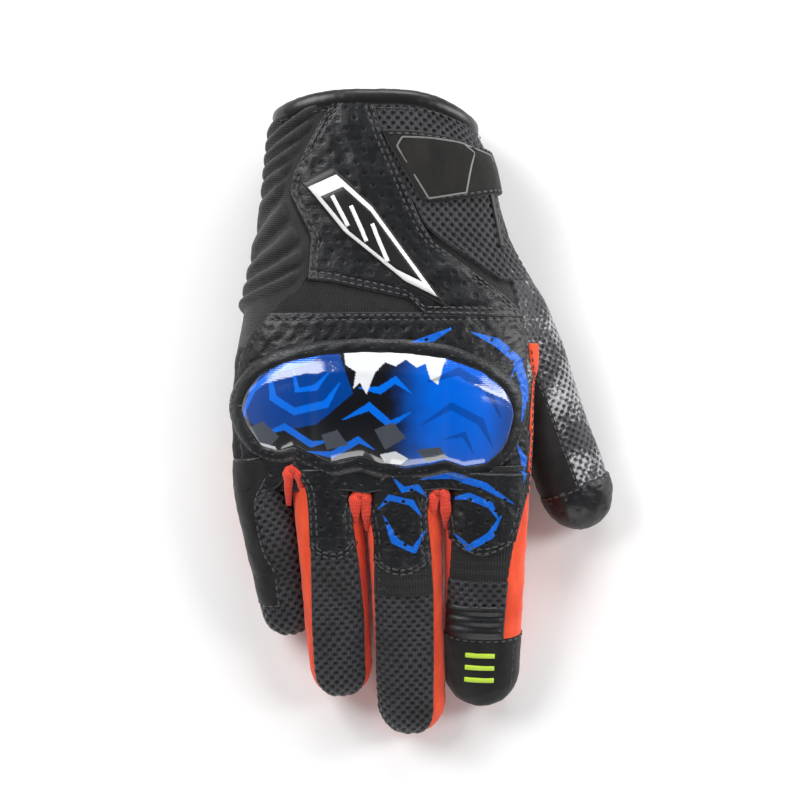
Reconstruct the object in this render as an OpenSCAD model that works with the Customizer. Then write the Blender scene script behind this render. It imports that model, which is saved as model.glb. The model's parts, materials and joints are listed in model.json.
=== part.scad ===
// Riding glove for the right hand, short cuff, lying palm down.
// +X points to the thumb side, +Y to the cuff and +Z out of the back of the hand.
// The origin is on the surface that the glove lies on, below the middle of its outline.

/* [Hand] */
// Length from the finger roots to the wrist crease
palm_length = 98; // [80:1:120]
// Length from the wrist crease to the cuff edge
cuff_length = 60; // [45:1:75]
// Width of the hand tube at the wrist crease
wrist_width = 95; // [78:1:116]
// Width of the cuff opening
cuff_width = 74; // [60:1:92]
// Thickness of the hand tube at the finger roots
root_height = 24; // [22:0.5:30]
// Thickness of the hand tube at the wrist crease
wrist_height = 40; // [32:1:50]
// Thickness of the cuff opening
cuff_height = 42; // [34:1:52]
// Fabric between neighbouring fingers at their roots
web_width = 2.4; // [1.5:0.1:6]

/* [Fingers] */
// Width of each finger at its root: little, ring, middle, index
finger_width = [21.5, 25.5, 29, 32]; // [14:0.5:40]
// Height of each finger
finger_height = [18, 20.5, 21.5, 21.5]; // [14:0.5:26]
// Length of each finger from its root to its middle joint
root_length = [24, 29, 32.5, 28]; // [18:0.5:42]
// Length from the middle joint to the tip joint
mid_length = [19, 25, 28.5, 24]; // [14:0.5:36]
// Length from the tip joint to the end
tip_length = [18, 27, 33, 31]; // [14:0.5:42]
// Share of the root width that is left where the tip starts
finger_taper = 0.86; // [0.75:0.01:1]

/* [Thumb] */
// Width of the thumb at its base
thumb_width = 26; // [21:0.5:32]
// Height of the thumb
thumb_height = 22; // [17:0.5:27]
// Length from the base joint to the middle joint
thumb_root_length = 34; // [28:0.5:42]
// Length from the middle joint to the end
thumb_tip_length = 37; // [30:0.5:45]

/* [Joints] */
// Most that a finger folds at its root
knuckle_bend = 60; // [30:1:70]
// Most that a finger folds at its middle joint
middle_bend = 70; // [30:1:80]
// Most that the thumb folds at its base
thumb_base_bend = 15; // [8:1:25]
// Most that the thumb folds at its middle joint
thumb_bend = 32; // [20:1:50]
// Share of the middle joint's turn that the tip joint makes
tip_share = 0.5; // [0.3:0.05:0.6]
// Room between two parts that move against each other
joint_gap = 0.35; // [0.3:0.05:0.8]

/* [Walls] */
// Leather, mesh and suede with their lining
wall = 1.6; // [1:0.1:2.4]
// Moulded knuckle guard
guard_wall = 2; // [1.2:0.1:3]
// Height of the knuckle guard over the leather
guard_rise = 8.5; // [6:0.5:14]
// Width of the leather frame round the guard
frame_width = 5.5; // [4:0.5:8]
// Suede overlay that is sewn on the palm
overlay_wall = 1.4; // [1:0.1:2.4]
// Height of the palm over the surface that the glove lies on, which the heel slider fills
palm_clear = 5.4; // [5:0.1:9]
// Air between two layers that are sewn or stuck together
layer_gap = 0.3; // [0.2:0.05:0.5]

/* [Strap] */
// Width of the wrist strap
strap_width = 27; // [18:0.5:34]
// Thickness of the wrist strap
strap_wall = 1.6; // [1:0.1:2.4]
// Thickness of the hook patch, and of the loop patch
patch_wall = 1.1; // [0.8:0.1:1.8]
// Diameter of the padded roll round the cuff edge
binding_size = 7; // [4:0.5:9]

/* [Hidden] */
FINGERS = ["little", "ring", "middle", "index"];
PIECES = ["root_back", "root_palm", "root_sides", "mid_back", "mid_palm", "mid_sides",
    "tip_back", "tip_palm"];

// Colours
black_leather = [0.09, 0.09, 0.09];
black_mesh = [0.05, 0.05, 0.06];
black_suede = [0.07, 0.065, 0.06];
red_knit = [0.95, 0.16, 0.08];
red_suede = [0.98, 0.35, 0.2];
guard_blue = [0.02, 0.22, 0.75];
badge_white = [0.93, 0.93, 0.91];

// Round-cornered section shared by the hand, the fingers and the thumb
section_power = 2.6;
function sup(t, p = section_power) =
    [sign(cos(t)) * pow(abs(cos(t)), 2 / p), sign(sin(t)) * pow(abs(sin(t)), 2 / p)];
function mix(a, b, u) = a + (b - a) * u;
function clamp01(u) = min(1, max(0, u));
function ease(u) = let (c = clamp01(u)) c * c * (3 - 2 * c);
function sum_to(v, n) = n <= 0 ? 0 : v[n - 1] + sum_to(v, n - 1);

// Where the leather, ribs, palm and thumb side meet round the hand, as angles from the thumb side
edge_thumb = 32;
edge_outer = 128;
edge_palm = 215;
edge_inner = 310;
// The same for a finger: back, outer side, palm and inner side
finger_edge = 38;

// Fingers in their rest shape; fold_room is the angle left over when a joint is fully folded
fold_room = 1.5;
splay = [12, 4, 2.5, -1.5];
curve = [7, 6.5, 6];
finger_spread = [web_width + 3.4, web_width, web_width];
// The outer fingers stand a little beyond the hand tube
finger_overhang = [1.5, 2];
hand_width = sum_to(finger_width, 4) + sum_to(finger_spread, 3)
    - finger_overhang[0] - finger_overhang[1];
root_step = [7, 2.5, 0, 0.5];
root_drop = [5, 1, 0, 0.5];

// Overall layout
middle_reach = cos(splay[2]) * (root_length[2] * cos(curve[0]) + mid_length[2] * cos(curve[0] + curve[1])
    + tip_length[2] * cos(curve[0] + curve[1] + curve[2]));
total_length = middle_reach + palm_length + cuff_length + binding_size / 2;
root_line = middle_reach - total_length / 2;
wrist_line = root_line + palm_length;
cuff_line = wrist_line + cuff_length;
thumb_lean = 21;
thumb_twist = 8;
thumb_drop = 6;
thumb_reach = (thumb_root_length + thumb_tip_length) * sin(thumb_lean);
thumb_out = hand_width / 2 + 1.5;
hand_middle = -(thumb_out + thumb_reach + thumb_width * 0.16 - hand_width / 2) / 2;
cuff_lean = -5;

// The hand tube, from the finger roots to the cuff edge
function palm_share(y) = clamp01((y - root_line) / palm_length);
function cuff_share(y) = clamp01((y - wrist_line) / cuff_length);
function half_width(y) = y < wrist_line
    ? mix(hand_width, wrist_width, ease((palm_share(y) - 0.25) / 0.85)) / 2
    : mix(wrist_width, cuff_width, cuff_share(y)) / 2;
function half_height(y) = y < wrist_line
    ? mix(root_height, wrist_height, ease(palm_share(y) / 0.55)) / 2
    : mix(wrist_height, cuff_height, cuff_share(y)) / 2;
function middle_x(y) = hand_middle + cuff_lean * cuff_share(y);
function middle_z(y) = palm_clear + max(cuff_height, wrist_height) / 2
    + 1.2 * (1 - ease(palm_share(y) / 0.5));
// The knuckles fall away towards the little finger
function arch(x, y) = -root_drop[0] * pow(clamp01((hand_middle - x) / (hand_width / 2)), 2)
    * (1 - ease(palm_share(y) / 0.8));

// The thumb side swells over the ball of the thumb, and is cut back in front of it
thumb_split = root_line + 0.6 * palm_length;
thumb_swell = 0.62;
thumb_relief = -0.32;
swell_top = 0.45;
swell_run = 12;
function side_swell(y) = mix(thumb_relief, thumb_swell, ease((y - thumb_split) / swell_run + 0.9))
    * ease((wrist_line + 8 - y) / (wrist_line - thumb_split));

function hand_point(y, t, off) =
    let (q = sup(t),
         low = 1 + (q.x > 0 ? side_swell(y) * max(0, swell_top - q.y) / (1 + swell_top) : 0),
         x = middle_x(y) + (half_width(y) * low + off) * q.x)
    [x, y, middle_z(y) + (half_height(y) + off) * q.y + arch(x, y)];

// Height of the back of the hand over a place
function back_z(x, y) =
    let (u = min(0.97, abs(x - middle_x(y)) / half_width(y)))
    middle_z(y) + half_height(y) * pow(1 - pow(u, section_power), 1 / section_power) + arch(x, y);

// Height of the palm over a place
function palm_z(x, y) =
    let (u = min(0.97, abs(x - middle_x(y)) / half_width(y)))
    middle_z(y) - half_height(y) * pow(1 - pow(u, section_power), 1 / section_power) + arch(x, y);

// Finger roots: little, ring, middle, index
function root_x(i) = hand_middle - hand_width / 2 - finger_overhang[0] + sum_to(finger_width, i)
    + sum_to(finger_spread, i) + finger_width[i] / 2;
function root_y(i) = root_line + root_step[i];
function root_z(i) = middle_z(root_line) - root_drop[i];
root_places = [for (i = [0:3], side = [-1, 1])
    let (half = finger_width[i] / 2)
    [root_x(i) + side * half * cos(splay[i]), root_y(i) + side * half * sin(splay[i])]];
root_heights = [for (i = [0:3]) [root_x(i), root_z(i)]];

// Front edge of the hand tube, cut back below the finger joints so that the fingers can fold
function front(x, z) =
    let (low = lookup(x, root_heights) - z)
    lookup(x, root_places) + joint_gap
        + (low > 0 ? low * tan((knuckle_bend + curve[0]) / 2 + fold_room) : low * tan(curve[0]));

// Closed sheet between two surfaces: place(u, v, k) with k 0 on the outside and 1 on the inside
module sheet(nu, nv, place) {
    n = (nu + 1) * (nv + 1);
    points = [for (k = [0, 1], i = [0:nu], j = [0:nv]) place(i / nu, j / nv, k)];
    cells = [for (i = [0:nu - 1], j = [0:nv - 1]) i * (nv + 1) + j];
    rim = concat([for (j = [0:nv]) j],
        [for (i = [1:nu]) i * (nv + 1) + nv],
        [for (j = [nv - 1:-1:0]) nu * (nv + 1) + j],
        [for (i = [nu - 1:-1:1]) i * (nv + 1)]);
    outside = [for (c = cells) each [[c, c + 1, c + nv + 1], [c + 1, c + nv + 2, c + nv + 1]]];
    inside = [for (f = outside) [f[0] + n, f[2] + n, f[1] + n]];
    sides = [for (k = [0:len(rim) - 1])
        let (a = rim[k], b = rim[(k + 1) % len(rim)])
        each [[b, a, a + n], [b, a + n, b + n]]];
    polyhedron(points, concat(outside, inside, sides));
}

// Closed tube round a closed loop: place(u, w) with u round the loop and w round the section
module loop_tube(nu, nw, place) {
    points = [for (i = [0:nu - 1], j = [0:nw - 1]) place(i / nu, j / nw)];
    polyhedron(points, [for (i = [0:nu - 1], j = [0:nw - 1])
        let (a = i * nw + j, b = i * nw + (j + 1) % nw,
             c = ((i + 1) % nu) * nw + j, d = ((i + 1) % nu) * nw + (j + 1) % nw)
        each [[a, c, b], [b, c, d]]]);
}

// Panel of the hand tube between two angles, off outside it; from and to give its ends at a point of
// the section at from_y or at the cuff
module hand_panel(t0, t1, from, to, off = 0, thick = wall, nu = 10, nv = 8, from_y = root_line) {
    sheet(nu, nv, function(u, v, k)
        let (t = mix(t0, t1, u), o = off - k * thick,
             a = hand_point(from_y, t, o), b = hand_point(cuff_line, t, o))
        hand_point(mix(from(a.x, a.z), to(b.x, b.z), v), t, o));
}

// Thumb base, and the edge of the hand tube round it, cut back so that the thumb can fold
thumb_place = [hand_middle + thumb_out, thumb_split - 1, palm_clear + thumb_height / 2 + 0.4];
function thumb_front(x, z) =
    let (low = -(x - thumb_place.x) * sin(thumb_twist) - (z - thumb_place.z) * cos(thumb_twist))
    thumb_place.y + (x - thumb_place.x) * tan(thumb_lean) + joint_gap
        + max(0, low) * tan((thumb_base_bend + thumb_drop) / 2 + fold_room);

thumb_top = thumb_place.z + thumb_height * 0.7;
side_open = 8;

cuff_end = cuff_line - binding_size / 2;
rib_start = root_line + 0.62 * palm_length;
strap_middle = wrist_line + 0.55 * cuff_length;
strap_edge = 74;
gusset_start = wrist_line + 4;

// Back of the hand in perforated leather
module back_leather() color(black_leather) {
    hand_panel(edge_thumb, edge_outer, function(x, z) front(x, z), function(x, z) gusset_start, nu = 24);
    hand_panel(strap_edge + 2, edge_outer, function(x, z) gusset_start, function(x, z) cuff_end,
        nu = 6, nv = 6);
}
// Wedge of stretch knit that lets the back of the hand bend
insert_place = [-16, 76];
insert_size = [50, 11];
insert_wall = 1;
module stretch_insert() color(black_suede)
    sheet(6, 2, function(u, v, k)
        let (x = hand_middle + insert_place.x + insert_size.x * (u - 0.5),
             y = root_line + insert_place.y + insert_size.y * (v - 0.5) * (1 - 0.5 * u))
        [x, y, back_z(x, y) + layer_gap + insert_wall * (1 - k)]);
// Ribbed stretch panel over the outer side of the wrist
module rib_panel() color(black_suede)
    hand_panel(edge_outer + 1, edge_palm - 1, function(x, z) rib_start, function(x, z) cuff_end,
        nu = 8, nv = 10);
module outer_side_patch() color(black_suede)
    hand_panel(edge_outer + 1, edge_palm - 1, function(x, z) front(x, z),
        function(x, z) rib_start - joint_gap, nu = 8, nv = 6);
module palm_suede() color(black_suede)
    hand_panel(edge_palm, edge_inner - 1, function(x, z) front(x, z), function(x, z) cuff_end,
        nu = 18, nv = 24);
module thumb_gore() color(black_mesh)
    hand_panel(edge_inner + 1, edge_thumb + 359,
        function(x, z) z > thumb_top ? thumb_split - side_open + 1 : thumb_front(x, z),
        function(x, z) gusset_start - joint_gap, nu = 8, nv = 6, from_y = thumb_split + 3);
module index_side_wall() color(red_suede)
    hand_panel(edge_inner + 1, edge_thumb + 359, function(x, z) front(x, z),
        function(x, z) z > thumb_top ? thumb_split - side_open : thumb_split - 2 * side_open,
        nu = 8, nv = 6);
module cuff_gusset() color(black_mesh)
    hand_panel(edge_inner + 1, strap_edge + 361, function(x, z) gusset_start + joint_gap,
        function(x, z) cuff_end, nu = 12, nv = 5);
// Padded roll round the cuff edge
module cuff_binding() color(black_leather)
    loop_tube(28, 8, function(u, w)
        let (c = hand_point(cuff_line, 360 * u, -wall / 2), s = 360 * w, q = sup(360 * u),
             r = binding_size / 2)
        [c.x + r * 0.72 * cos(s) * q.x, c.y + layer_gap + r * sin(s), c.z + r * 0.72 * cos(s) * q.y]);

// Knuckle guard: one lobe for each knuckle, laid over the back from angle to angle
guard_lobes = 4;
guard_outer = 153;
guard_inner = 34;
guard_front = root_line + 14.5;
guard_back = root_line + 58;
guard_cells = [24, 8];
function guard_spread(u) = 0.5 - 0.5 * cos(180 * u);
function guard_front_edge(s) = guard_front - 4 * abs(sin(180 * guard_lobes * s))
    + 7 * (1 - ease(s / 0.5))
    + 9 * pow(abs(2 * s - 1), 5) * (s < 0.5 ? 1.6 : 1);
function guard_back_edge(s) = guard_back - 8 * ease((s - 0.45) / 0.55) - 13 * pow(abs(2 * s - 1), 6);
function guard_spot(u, v) =
    let (s = guard_spread(u))
    [mix(guard_outer, guard_inner, s), mix(guard_front_edge(s), guard_back_edge(s), v)];
function guard_dome(u, v) = pow(max(0, sin(180 * v)), 0.6) * pow(max(0, sin(180 * guard_spread(u))), 0.5)
    * (guard_rise - guard_wall);
function guard_point(u, v, off) =
    let (g = guard_spot(u, v))
    hand_point(g.y, g.x, off);
module knuckle_guard() color(guard_blue)
    sheet(guard_cells.x, guard_cells.y, function(u, v, k)
        guard_point(u, v, layer_gap + guard_dome(u, v) + guard_wall * (1 - k)));
// Foam that fills the dome, one cell in from its rim
module knuckle_foam() color(black_suede)
    sheet(guard_cells.x - 6, guard_cells.y - 2, function(u, v, k)
        let (gu = mix(3 / guard_cells.x, 1 - 3 / guard_cells.x, u),
             gv = mix(1 / guard_cells.y, 1 - 1 / guard_cells.y, v))
        guard_point(gu, gv, k == 0 ? guard_dome(gu, gv) - layer_gap : layer_gap));
// Leather frame round the guard's rim; a step of one degree is about degree_run long
degree_run = 0.75;
// How much more the frame spreads along the hand than across it
frame_stretch = 2.2;
function frame_point(a, out, off) =
    let (turn = 4 * a, side = floor(turn) % 4, f = turn - floor(turn),
         g = side == 0 ? guard_spot(f, 0) : side == 1 ? guard_spot(1, f)
            : side == 2 ? guard_spot(1 - f, 1) : guard_spot(0, 1 - f),
         d = [(guard_outer + guard_inner - 2 * g.x) / 2 * degree_run,
              frame_stretch * (g.y - (guard_front + guard_back) / 2)],
         n = d / norm(d))
    hand_point(g.y + n.y * out, g.x - n.x * out / degree_run, off);
module guard_frame() color(black_leather)
    loop_tube(4 * guard_cells.x, 4, function(u, w)
        frame_point(u, w < 0.25 || w >= 0.75 ? joint_gap : frame_width,
            w >= 0.5 ? wall + layer_gap : layer_gap));

// Plain lozenge badge moulded on the back
badge_length = 62;
badge_width = 17;
badge_turn = -38;
badge_place = [-1, 99];
module badge() color(badge_white)
    sheet(10, 4, function(u, v, k)
        let (along = badge_length * (u - 0.5),
             w = badge_width * min(1, 0.12 + 2.6 * min(u, 1 - u)) * (v - 0.5),
             x = hand_middle + badge_place.x + along * cos(badge_turn) - w * sin(badge_turn),
             y = root_line + badge_place.y + along * sin(badge_turn) + w * cos(badge_turn))
        [x, y, back_z(x, y) + layer_gap + 1.6 * (1 - k)]);

// Palm: slider with a flat underside on the heel of the hand, and an overlay below the thumb
heel_from = [-33, 64];
heel_size = [28, 31];
module heel_pad() color(black_leather)
    sheet(5, 5, function(u, v, k)
        let (x = hand_middle + heel_from.x + heel_size.x * u,
             y = root_line + heel_from.y + heel_size.y * v,
             bevel = k == 0 ? [2 - 4 * u, 2 - 4 * v] : [0, 0])
        k == 0 ? [x + bevel.x, y + bevel.y, 0] : [x, y, palm_z(x, y) - layer_gap]);
module palm_overlay() color(black_suede)
    hand_panel(276, 303, function(x, z) thumb_split + 7, function(x, z) wrist_line - 4,
        off = layer_gap + overlay_wall, thick = overlay_wall, nu = 5, nv = 5);

// Saddles of knit between the fingers, across the front of the hand tube
web_wall = 1.2;
web_depth = 7;
web_below = 1;
module web_gussets() color(red_knit)
    for (i = [0:2]) {
        x = (root_x(i) + finger_width[i] / 2 + root_x(i + 1) - finger_width[i + 1] / 2) / 2;
        y = root_line + max(root_step[i], root_step[i + 1]) + joint_gap + 1 + web_depth / 2;
        top = min(back_z(x - web_depth / 2, y), back_z(x + web_depth / 2, y),
                  back_z(x, y - web_depth / 2))
            - wall - layer_gap;
        bottom = (root_z(i) + root_z(i + 1)) / 2 - web_below;
        translate([x, y, bottom])
            difference() {
                cylinder(d = web_depth, h = top - bottom, $fn = 32);
                translate([0, 0, -1])
                    cylinder(d = web_depth - 2 * web_wall, h = top - bottom + 2, $fn = 32);
                translate([-web_depth, -2 * web_depth - 1, -1])
                    cube([2 * web_depth, 2 * web_depth, root_height]);
            }
    }

// Wrist strap: sewn under the leather, round the thumb side, and stuck on the palm side
strap_from = strap_middle - strap_width / 2;
strap_to = strap_middle + strap_width / 2;
tab_hinge = edge_inner + 12;
module strap() color(black_suede)
    hand_panel(tab_hinge + 3, strap_edge + 358, function(x, z) strap_from, function(x, z) strap_to,
        off = layer_gap + strap_wall, thick = strap_wall, nu = 12, nv = 2);
module strap_grip() color(black_leather)
    hand_panel(394, strap_edge + 354, function(x, z) strap_from + 4, function(x, z) strap_to - 4,
        off = 2 * layer_gap + strap_wall + 0.9, thick = 0.9, nu = 5, nv = 2);
module loop_patch() color(black_suede)
    hand_panel(238, 296, function(x, z) strap_from + 2, function(x, z) strap_to - 2,
        off = layer_gap + patch_wall, thick = patch_wall, nu = 8, nv = 2);
module hook_patch() color(black_mesh)
    hand_panel(250, 292, function(x, z) strap_from + 3, function(x, z) strap_to - 3,
        off = 2 * (layer_gap + patch_wall), thick = patch_wall, nu = 7, nv = 2);
module strap_tab() color(black_suede)
    hand_panel(244, tab_hinge - 3, function(x, z) strap_from, function(x, z) strap_to,
        off = 3 * layer_gap + 2 * patch_wall + strap_wall, thick = strap_wall, nu = 9, nv = 2);

// Fingers and thumb: a digit is [width, height, lengths of its parts, folds at its joints, start gap]
function digit_scale(s, length, last) = !last ? 1
    : sqrt(max(0.02, 1 - pow(clamp01((s - 0.45 * length) / (0.56 * length)), 2)));
function digit_width(w, part, share) =
    w * mix([1, 0.94, finger_taper][part], [0.94, finger_taper, finger_taper][part], share);
// Panel of one part of a digit, between two angles, with ends cut back on the palm side by its folds
module digit_panel(w, h, part, length, fold0, fold1, last, t0, t1, nu = 5, nv = 3) {
    sheet(nu, nv, function(u, v, k)
        let (t = mix(t0, t1, u), q = sup(t), low = max(0, -q.y) * h / 2,
             from = joint_gap + low * tan(fold0 / 2 + fold_room),
             to = last ? length - k * wall : length - joint_gap - low * tan(fold1 / 2 + fold_room),
             s = mix(from, to, last ? 1 - pow(1 - v, 1.6) : v),
             g = digit_scale(s + k * wall * (last ? 1 : 0), length, last),
             a = digit_width(w, part, s / length) / 2 * g - k * wall,
             b = h / 2 * (last ? mix(1, 0.9, s / length) : 1) * g - k * wall)
        [max(0.15, a) * q.x, -s, max(0.15, b) * q.y]);
}

module at_finger(i, part) {
    translate([root_x(i), root_y(i), root_z(i)]) rotate([0, 0, splay[i]]) rotate([curve[0], 0, 0])
        if (part == 0) children();
        else translate([0, -root_length[i], 0]) rotate([curve[1], 0, 0])
            if (part == 1) children();
            else translate([0, -mid_length[i], 0]) rotate([curve[2], 0, 0]) children();
}
tip_bend = tip_share * middle_bend;
module finger_panel(i, part, t0, t1, nu = 5) {
    length = [root_length[i], mid_length[i], tip_length[i]][part];
    fold0 = [knuckle_bend, middle_bend, tip_bend][part] + curve[part];
    fold1 = part < 2 ? [middle_bend, tip_bend][part] + curve[part + 1] : 0;
    at_finger(i, part)
        digit_panel(finger_width[i], finger_height[i], part, length, fold0, fold1, part == 2, t0, t1,
            nu, part == 2 ? 7 : 3);
}
// What each finger part is made of: leather over the root, mesh beyond, a leather cap on the index finger
function back_colour(i, part) =
    part == 0 && i > 0 ? black_leather : part == 2 && i == 3 ? black_suede : black_mesh;
module finger_piece(i, piece) {
    part = floor(piece / 3);
    kind = piece - 3 * part;
    if (part < 2) {
        if (kind == 0) color(back_colour(i, part)) finger_panel(i, part, finger_edge, 180 - finger_edge);
        if (kind == 1) color(red_suede) finger_panel(i, part, 180 + finger_edge, 360 - finger_edge);
        if (kind == 2) color(part == 0 ? red_knit : red_suede) {
            finger_panel(i, part, -finger_edge + 2, finger_edge - 2, 4);
            finger_panel(i, part, 182 - finger_edge, 178 + finger_edge, 4);
        }
    } else if (kind == 0) color(back_colour(i, part)) finger_panel(i, part, 1, 179, 8);
    else color(red_suede) finger_panel(i, part, 181, 359, 8);
}

module at_thumb(part) {
    translate(thumb_place)
        rotate([0, 0, thumb_lean]) rotate([thumb_drop, 0, 0]) rotate([0, thumb_twist, 0])
        if (part == 0) children();
        else translate([0, -thumb_root_length, 0]) children();
}
module thumb_panel(part, t0, t1) {
    at_thumb(part)
        digit_panel(thumb_width, thumb_height, part, part == 0 ? thumb_root_length : thumb_tip_length,
            part == 0 ? thumb_base_bend + thumb_drop : thumb_bend, part == 0 ? thumb_bend : 0,
            part == 1, t0, t1,
            8, part == 1 ? 8 : 4);
}
module thumb_root_back() color(black_mesh) thumb_panel(0, 1, 179);
module thumb_root_palm() color(black_leather) thumb_panel(0, 181, 359);
module thumb_tip_back() color(black_leather) thumb_panel(1, 1, 179);
module thumb_tip_palm() color(black_leather) thumb_panel(1, 181, 359);

back_leather();
rib_panel();
outer_side_patch();
palm_suede();
thumb_gore();
index_side_wall();
cuff_gusset();
cuff_binding();
stretch_insert();
badge();
knuckle_guard();
knuckle_foam();
guard_frame();
heel_pad();
palm_overlay();
web_gussets();
strap();
strap_grip();
loop_patch();
strap_tab();
hook_patch();
thumb_root_back();
thumb_root_palm();
thumb_tip_back();
thumb_tip_palm();
for (i = [0:3], p = [0:7])
    finger_piece(i, p);
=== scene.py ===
"""Riding glove for the right hand: the visible model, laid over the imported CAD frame.

Lengths are millimetres until a mesh is made. The hand is a tube along Y, and each finger and the
thumb is a tube along its own bones. A panel is a grid on a tube: along it, and across it as an arc
length from the middle of the back, positive towards the thumb.
"""

import json
import math

import bpy
import numpy as np
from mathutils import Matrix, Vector


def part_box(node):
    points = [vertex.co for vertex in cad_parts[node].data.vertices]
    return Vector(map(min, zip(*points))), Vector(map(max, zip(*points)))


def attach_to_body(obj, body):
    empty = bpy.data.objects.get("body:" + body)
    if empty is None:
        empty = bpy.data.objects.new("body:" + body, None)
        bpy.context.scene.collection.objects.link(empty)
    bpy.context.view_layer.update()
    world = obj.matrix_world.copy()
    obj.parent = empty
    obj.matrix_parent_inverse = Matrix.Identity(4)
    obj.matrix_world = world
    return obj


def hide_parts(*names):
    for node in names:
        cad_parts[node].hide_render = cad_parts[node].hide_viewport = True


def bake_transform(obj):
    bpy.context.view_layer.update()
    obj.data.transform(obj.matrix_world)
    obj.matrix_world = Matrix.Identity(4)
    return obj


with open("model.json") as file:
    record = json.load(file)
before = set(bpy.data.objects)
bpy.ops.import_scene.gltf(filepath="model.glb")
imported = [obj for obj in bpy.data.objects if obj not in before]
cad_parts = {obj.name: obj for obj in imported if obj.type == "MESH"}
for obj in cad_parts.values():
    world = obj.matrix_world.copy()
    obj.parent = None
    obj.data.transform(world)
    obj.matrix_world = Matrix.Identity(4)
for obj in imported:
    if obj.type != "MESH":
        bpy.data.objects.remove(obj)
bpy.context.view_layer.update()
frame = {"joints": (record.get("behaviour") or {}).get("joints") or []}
MM = 0.001
JOINTS = {joint["name"]: joint for joint in frame["joints"]}
FINGERS = ["little", "ring", "middle", "index"]


# ---------------------------------------------------------------- helpers

def ease(u):
    u = np.clip(u, 0, 1)
    return u * u * (3 - 2 * u)


def ramp(x, lo, hi):
    return ease((np.asarray(x, float) - lo) / (hi - lo))


def curve(points, soft=0.0):
    """A function through (position, value) pairs; soft is the length over which its corners are rounded."""
    pts = np.array(sorted(points), float)
    if not soft:
        return lambda x: np.interp(x, pts[:, 0], pts[:, 1])
    grid = np.arange(pts[0, 0] - 4 * soft, pts[-1, 0] + 4 * soft, soft / 8)
    raw = np.interp(grid, pts[:, 0], pts[:, 1])
    kernel = np.hanning(17)
    smooth = np.convolve(np.pad(raw, 8, mode="edge"), kernel / kernel.sum(), "valid")
    return lambda x: np.interp(x, grid, smooth)


def waves(x, y, scale, seed, octaves=3):
    """Smooth seeded noise, about -1 to 1, from a few crossed sine waves."""
    r = np.random.default_rng(seed)
    total = 0
    for k in range(octaves * 4):
        angle, phase = r.uniform(0, math.tau, 2)
        freq = math.tau / scale * 1.6 ** (k // 4)
        total = total + np.sin((x * math.cos(angle) + y * math.sin(angle)) * freq
                               + phase) / 1.5 ** (k // 4)
    return total / (octaves * 1.6)


def unit(v):
    return v / np.maximum(np.linalg.norm(v, axis=-1, keepdims=True), 1e-9)


# ---------------------------------------------------------------- tubes

class Tube:
    """Rows of closed sections, evenly spaced along s, each cut into columns of equal arc."""

    COLUMNS = 288

    def __init__(self, s, sections):
        """sections[row, angle] are points round each row, from under the middle, by the little-finger side,
        over the top and back."""
        self.s0, self.step = s[0], s[1] - s[0]
        rows = []
        self.girth = np.zeros(len(s))
        for k, loop in enumerate(sections):
            closed = np.vstack([loop, loop[:1]])
            run = np.concatenate([[0], np.cumsum(np.linalg.norm(np.diff(closed, axis=0), axis=1))])
            self.girth[k] = run[-1]
            even = np.linspace(0, run[-1], self.COLUMNS, endpoint=False)
            rows.append(np.stack([np.interp(even, run, closed[:, i]) for i in range(3)], 1))
        self.points = np.array(rows)
        along = np.gradient(self.points, axis=0)
        around = np.roll(self.points, -1, 1) - np.roll(self.points, 1, 1)
        self.normals = unit(np.cross(along, around))
        middle = self.points.mean(1, keepdims=True)
        if np.sum(self.normals * (self.points - middle)) < 0:
            self.normals = -self.normals

    def _look(self, table, row, col):
        row = np.clip(row, 0, len(table) - 1.001)
        r0 = np.floor(row).astype(int)
        fr = (row - r0)[..., None]
        c0 = np.floor(col).astype(int)
        fc = (col - c0)[..., None]
        a, b = c0 % self.COLUMNS, (c0 + 1) % self.COLUMNS
        top = table[r0, a] * (1 - fc) + table[r0, b] * fc
        low = table[r0 + 1, a] * (1 - fc) + table[r0 + 1, b] * fc
        return top * (1 - fr) + low * fr

    def around(self, s):
        """Length round the tube at s."""
        return np.interp((np.asarray(s) - self.s0) / self.step, np.arange(len(self.girth)), self.girth)

    def at(self, s, a, off=0.0):
        s, a, off = np.broadcast_arrays(np.asarray(s, float), np.asarray(a, float),
                                        np.asarray(off, float))
        row = (s - self.s0) / self.step
        col = (a / self.around(s) + 0.5) * self.COLUMNS
        normal = unit(self._look(self.normals, row, col))
        return self._look(self.points, row, col) + normal * off[..., None]

    def normal(self, s, a):
        s, a = np.broadcast_arrays(np.asarray(s, float), np.asarray(a, float))
        return unit(self._look(self.normals, (s - self.s0) / self.step,
                               (a / self.around(s) + 0.5) * self.COLUMNS))

    def arc_of(self, s, x):
        """Arc length on the upper side where the tube at s has the plan position x."""
        s, x = np.broadcast_arrays(np.asarray(s, float), np.asarray(x, float))
        out = np.zeros(s.shape)
        quarter, count = self.COLUMNS // 4, self.COLUMNS
        for index in np.ndindex(s.shape):
            row = int(np.clip(round((s[index] - self.s0) / self.step), 0, len(self.points) - 1))
            xs = self.points[row, :, 0]
            lo, hi = int(np.argmin(xs)), int(np.argmax(xs))
            cols = np.arange(min(lo, hi), max(lo, hi) + 1)
            if cols[0] > quarter * 2 or cols[-1] < quarter * 2:
                cols = np.arange(quarter, 3 * quarter)
            order = np.argsort(xs[cols])
            col = np.interp(x[index], xs[cols][order], cols[order])
            out[index] = (col / count - 0.5) * self.girth[row]
        return out


def section_loop(centre, side, up, half_side, half_up, power=2.4, count=240):
    """A round-cornered loop that starts under the middle and goes by the little-finger side."""
    t = np.radians(270 - np.linspace(0, 360, count, endpoint=False))
    c = np.sign(np.cos(t)) * np.abs(np.cos(t)) ** (2 / power)
    z = np.sign(np.sin(t)) * np.abs(np.sin(t)) ** (2 / power)
    return centre + np.outer(c * half_side, side) + np.outer(z * half_up, up)


# ---------------------------------------------------------------- the hand's shape

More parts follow.
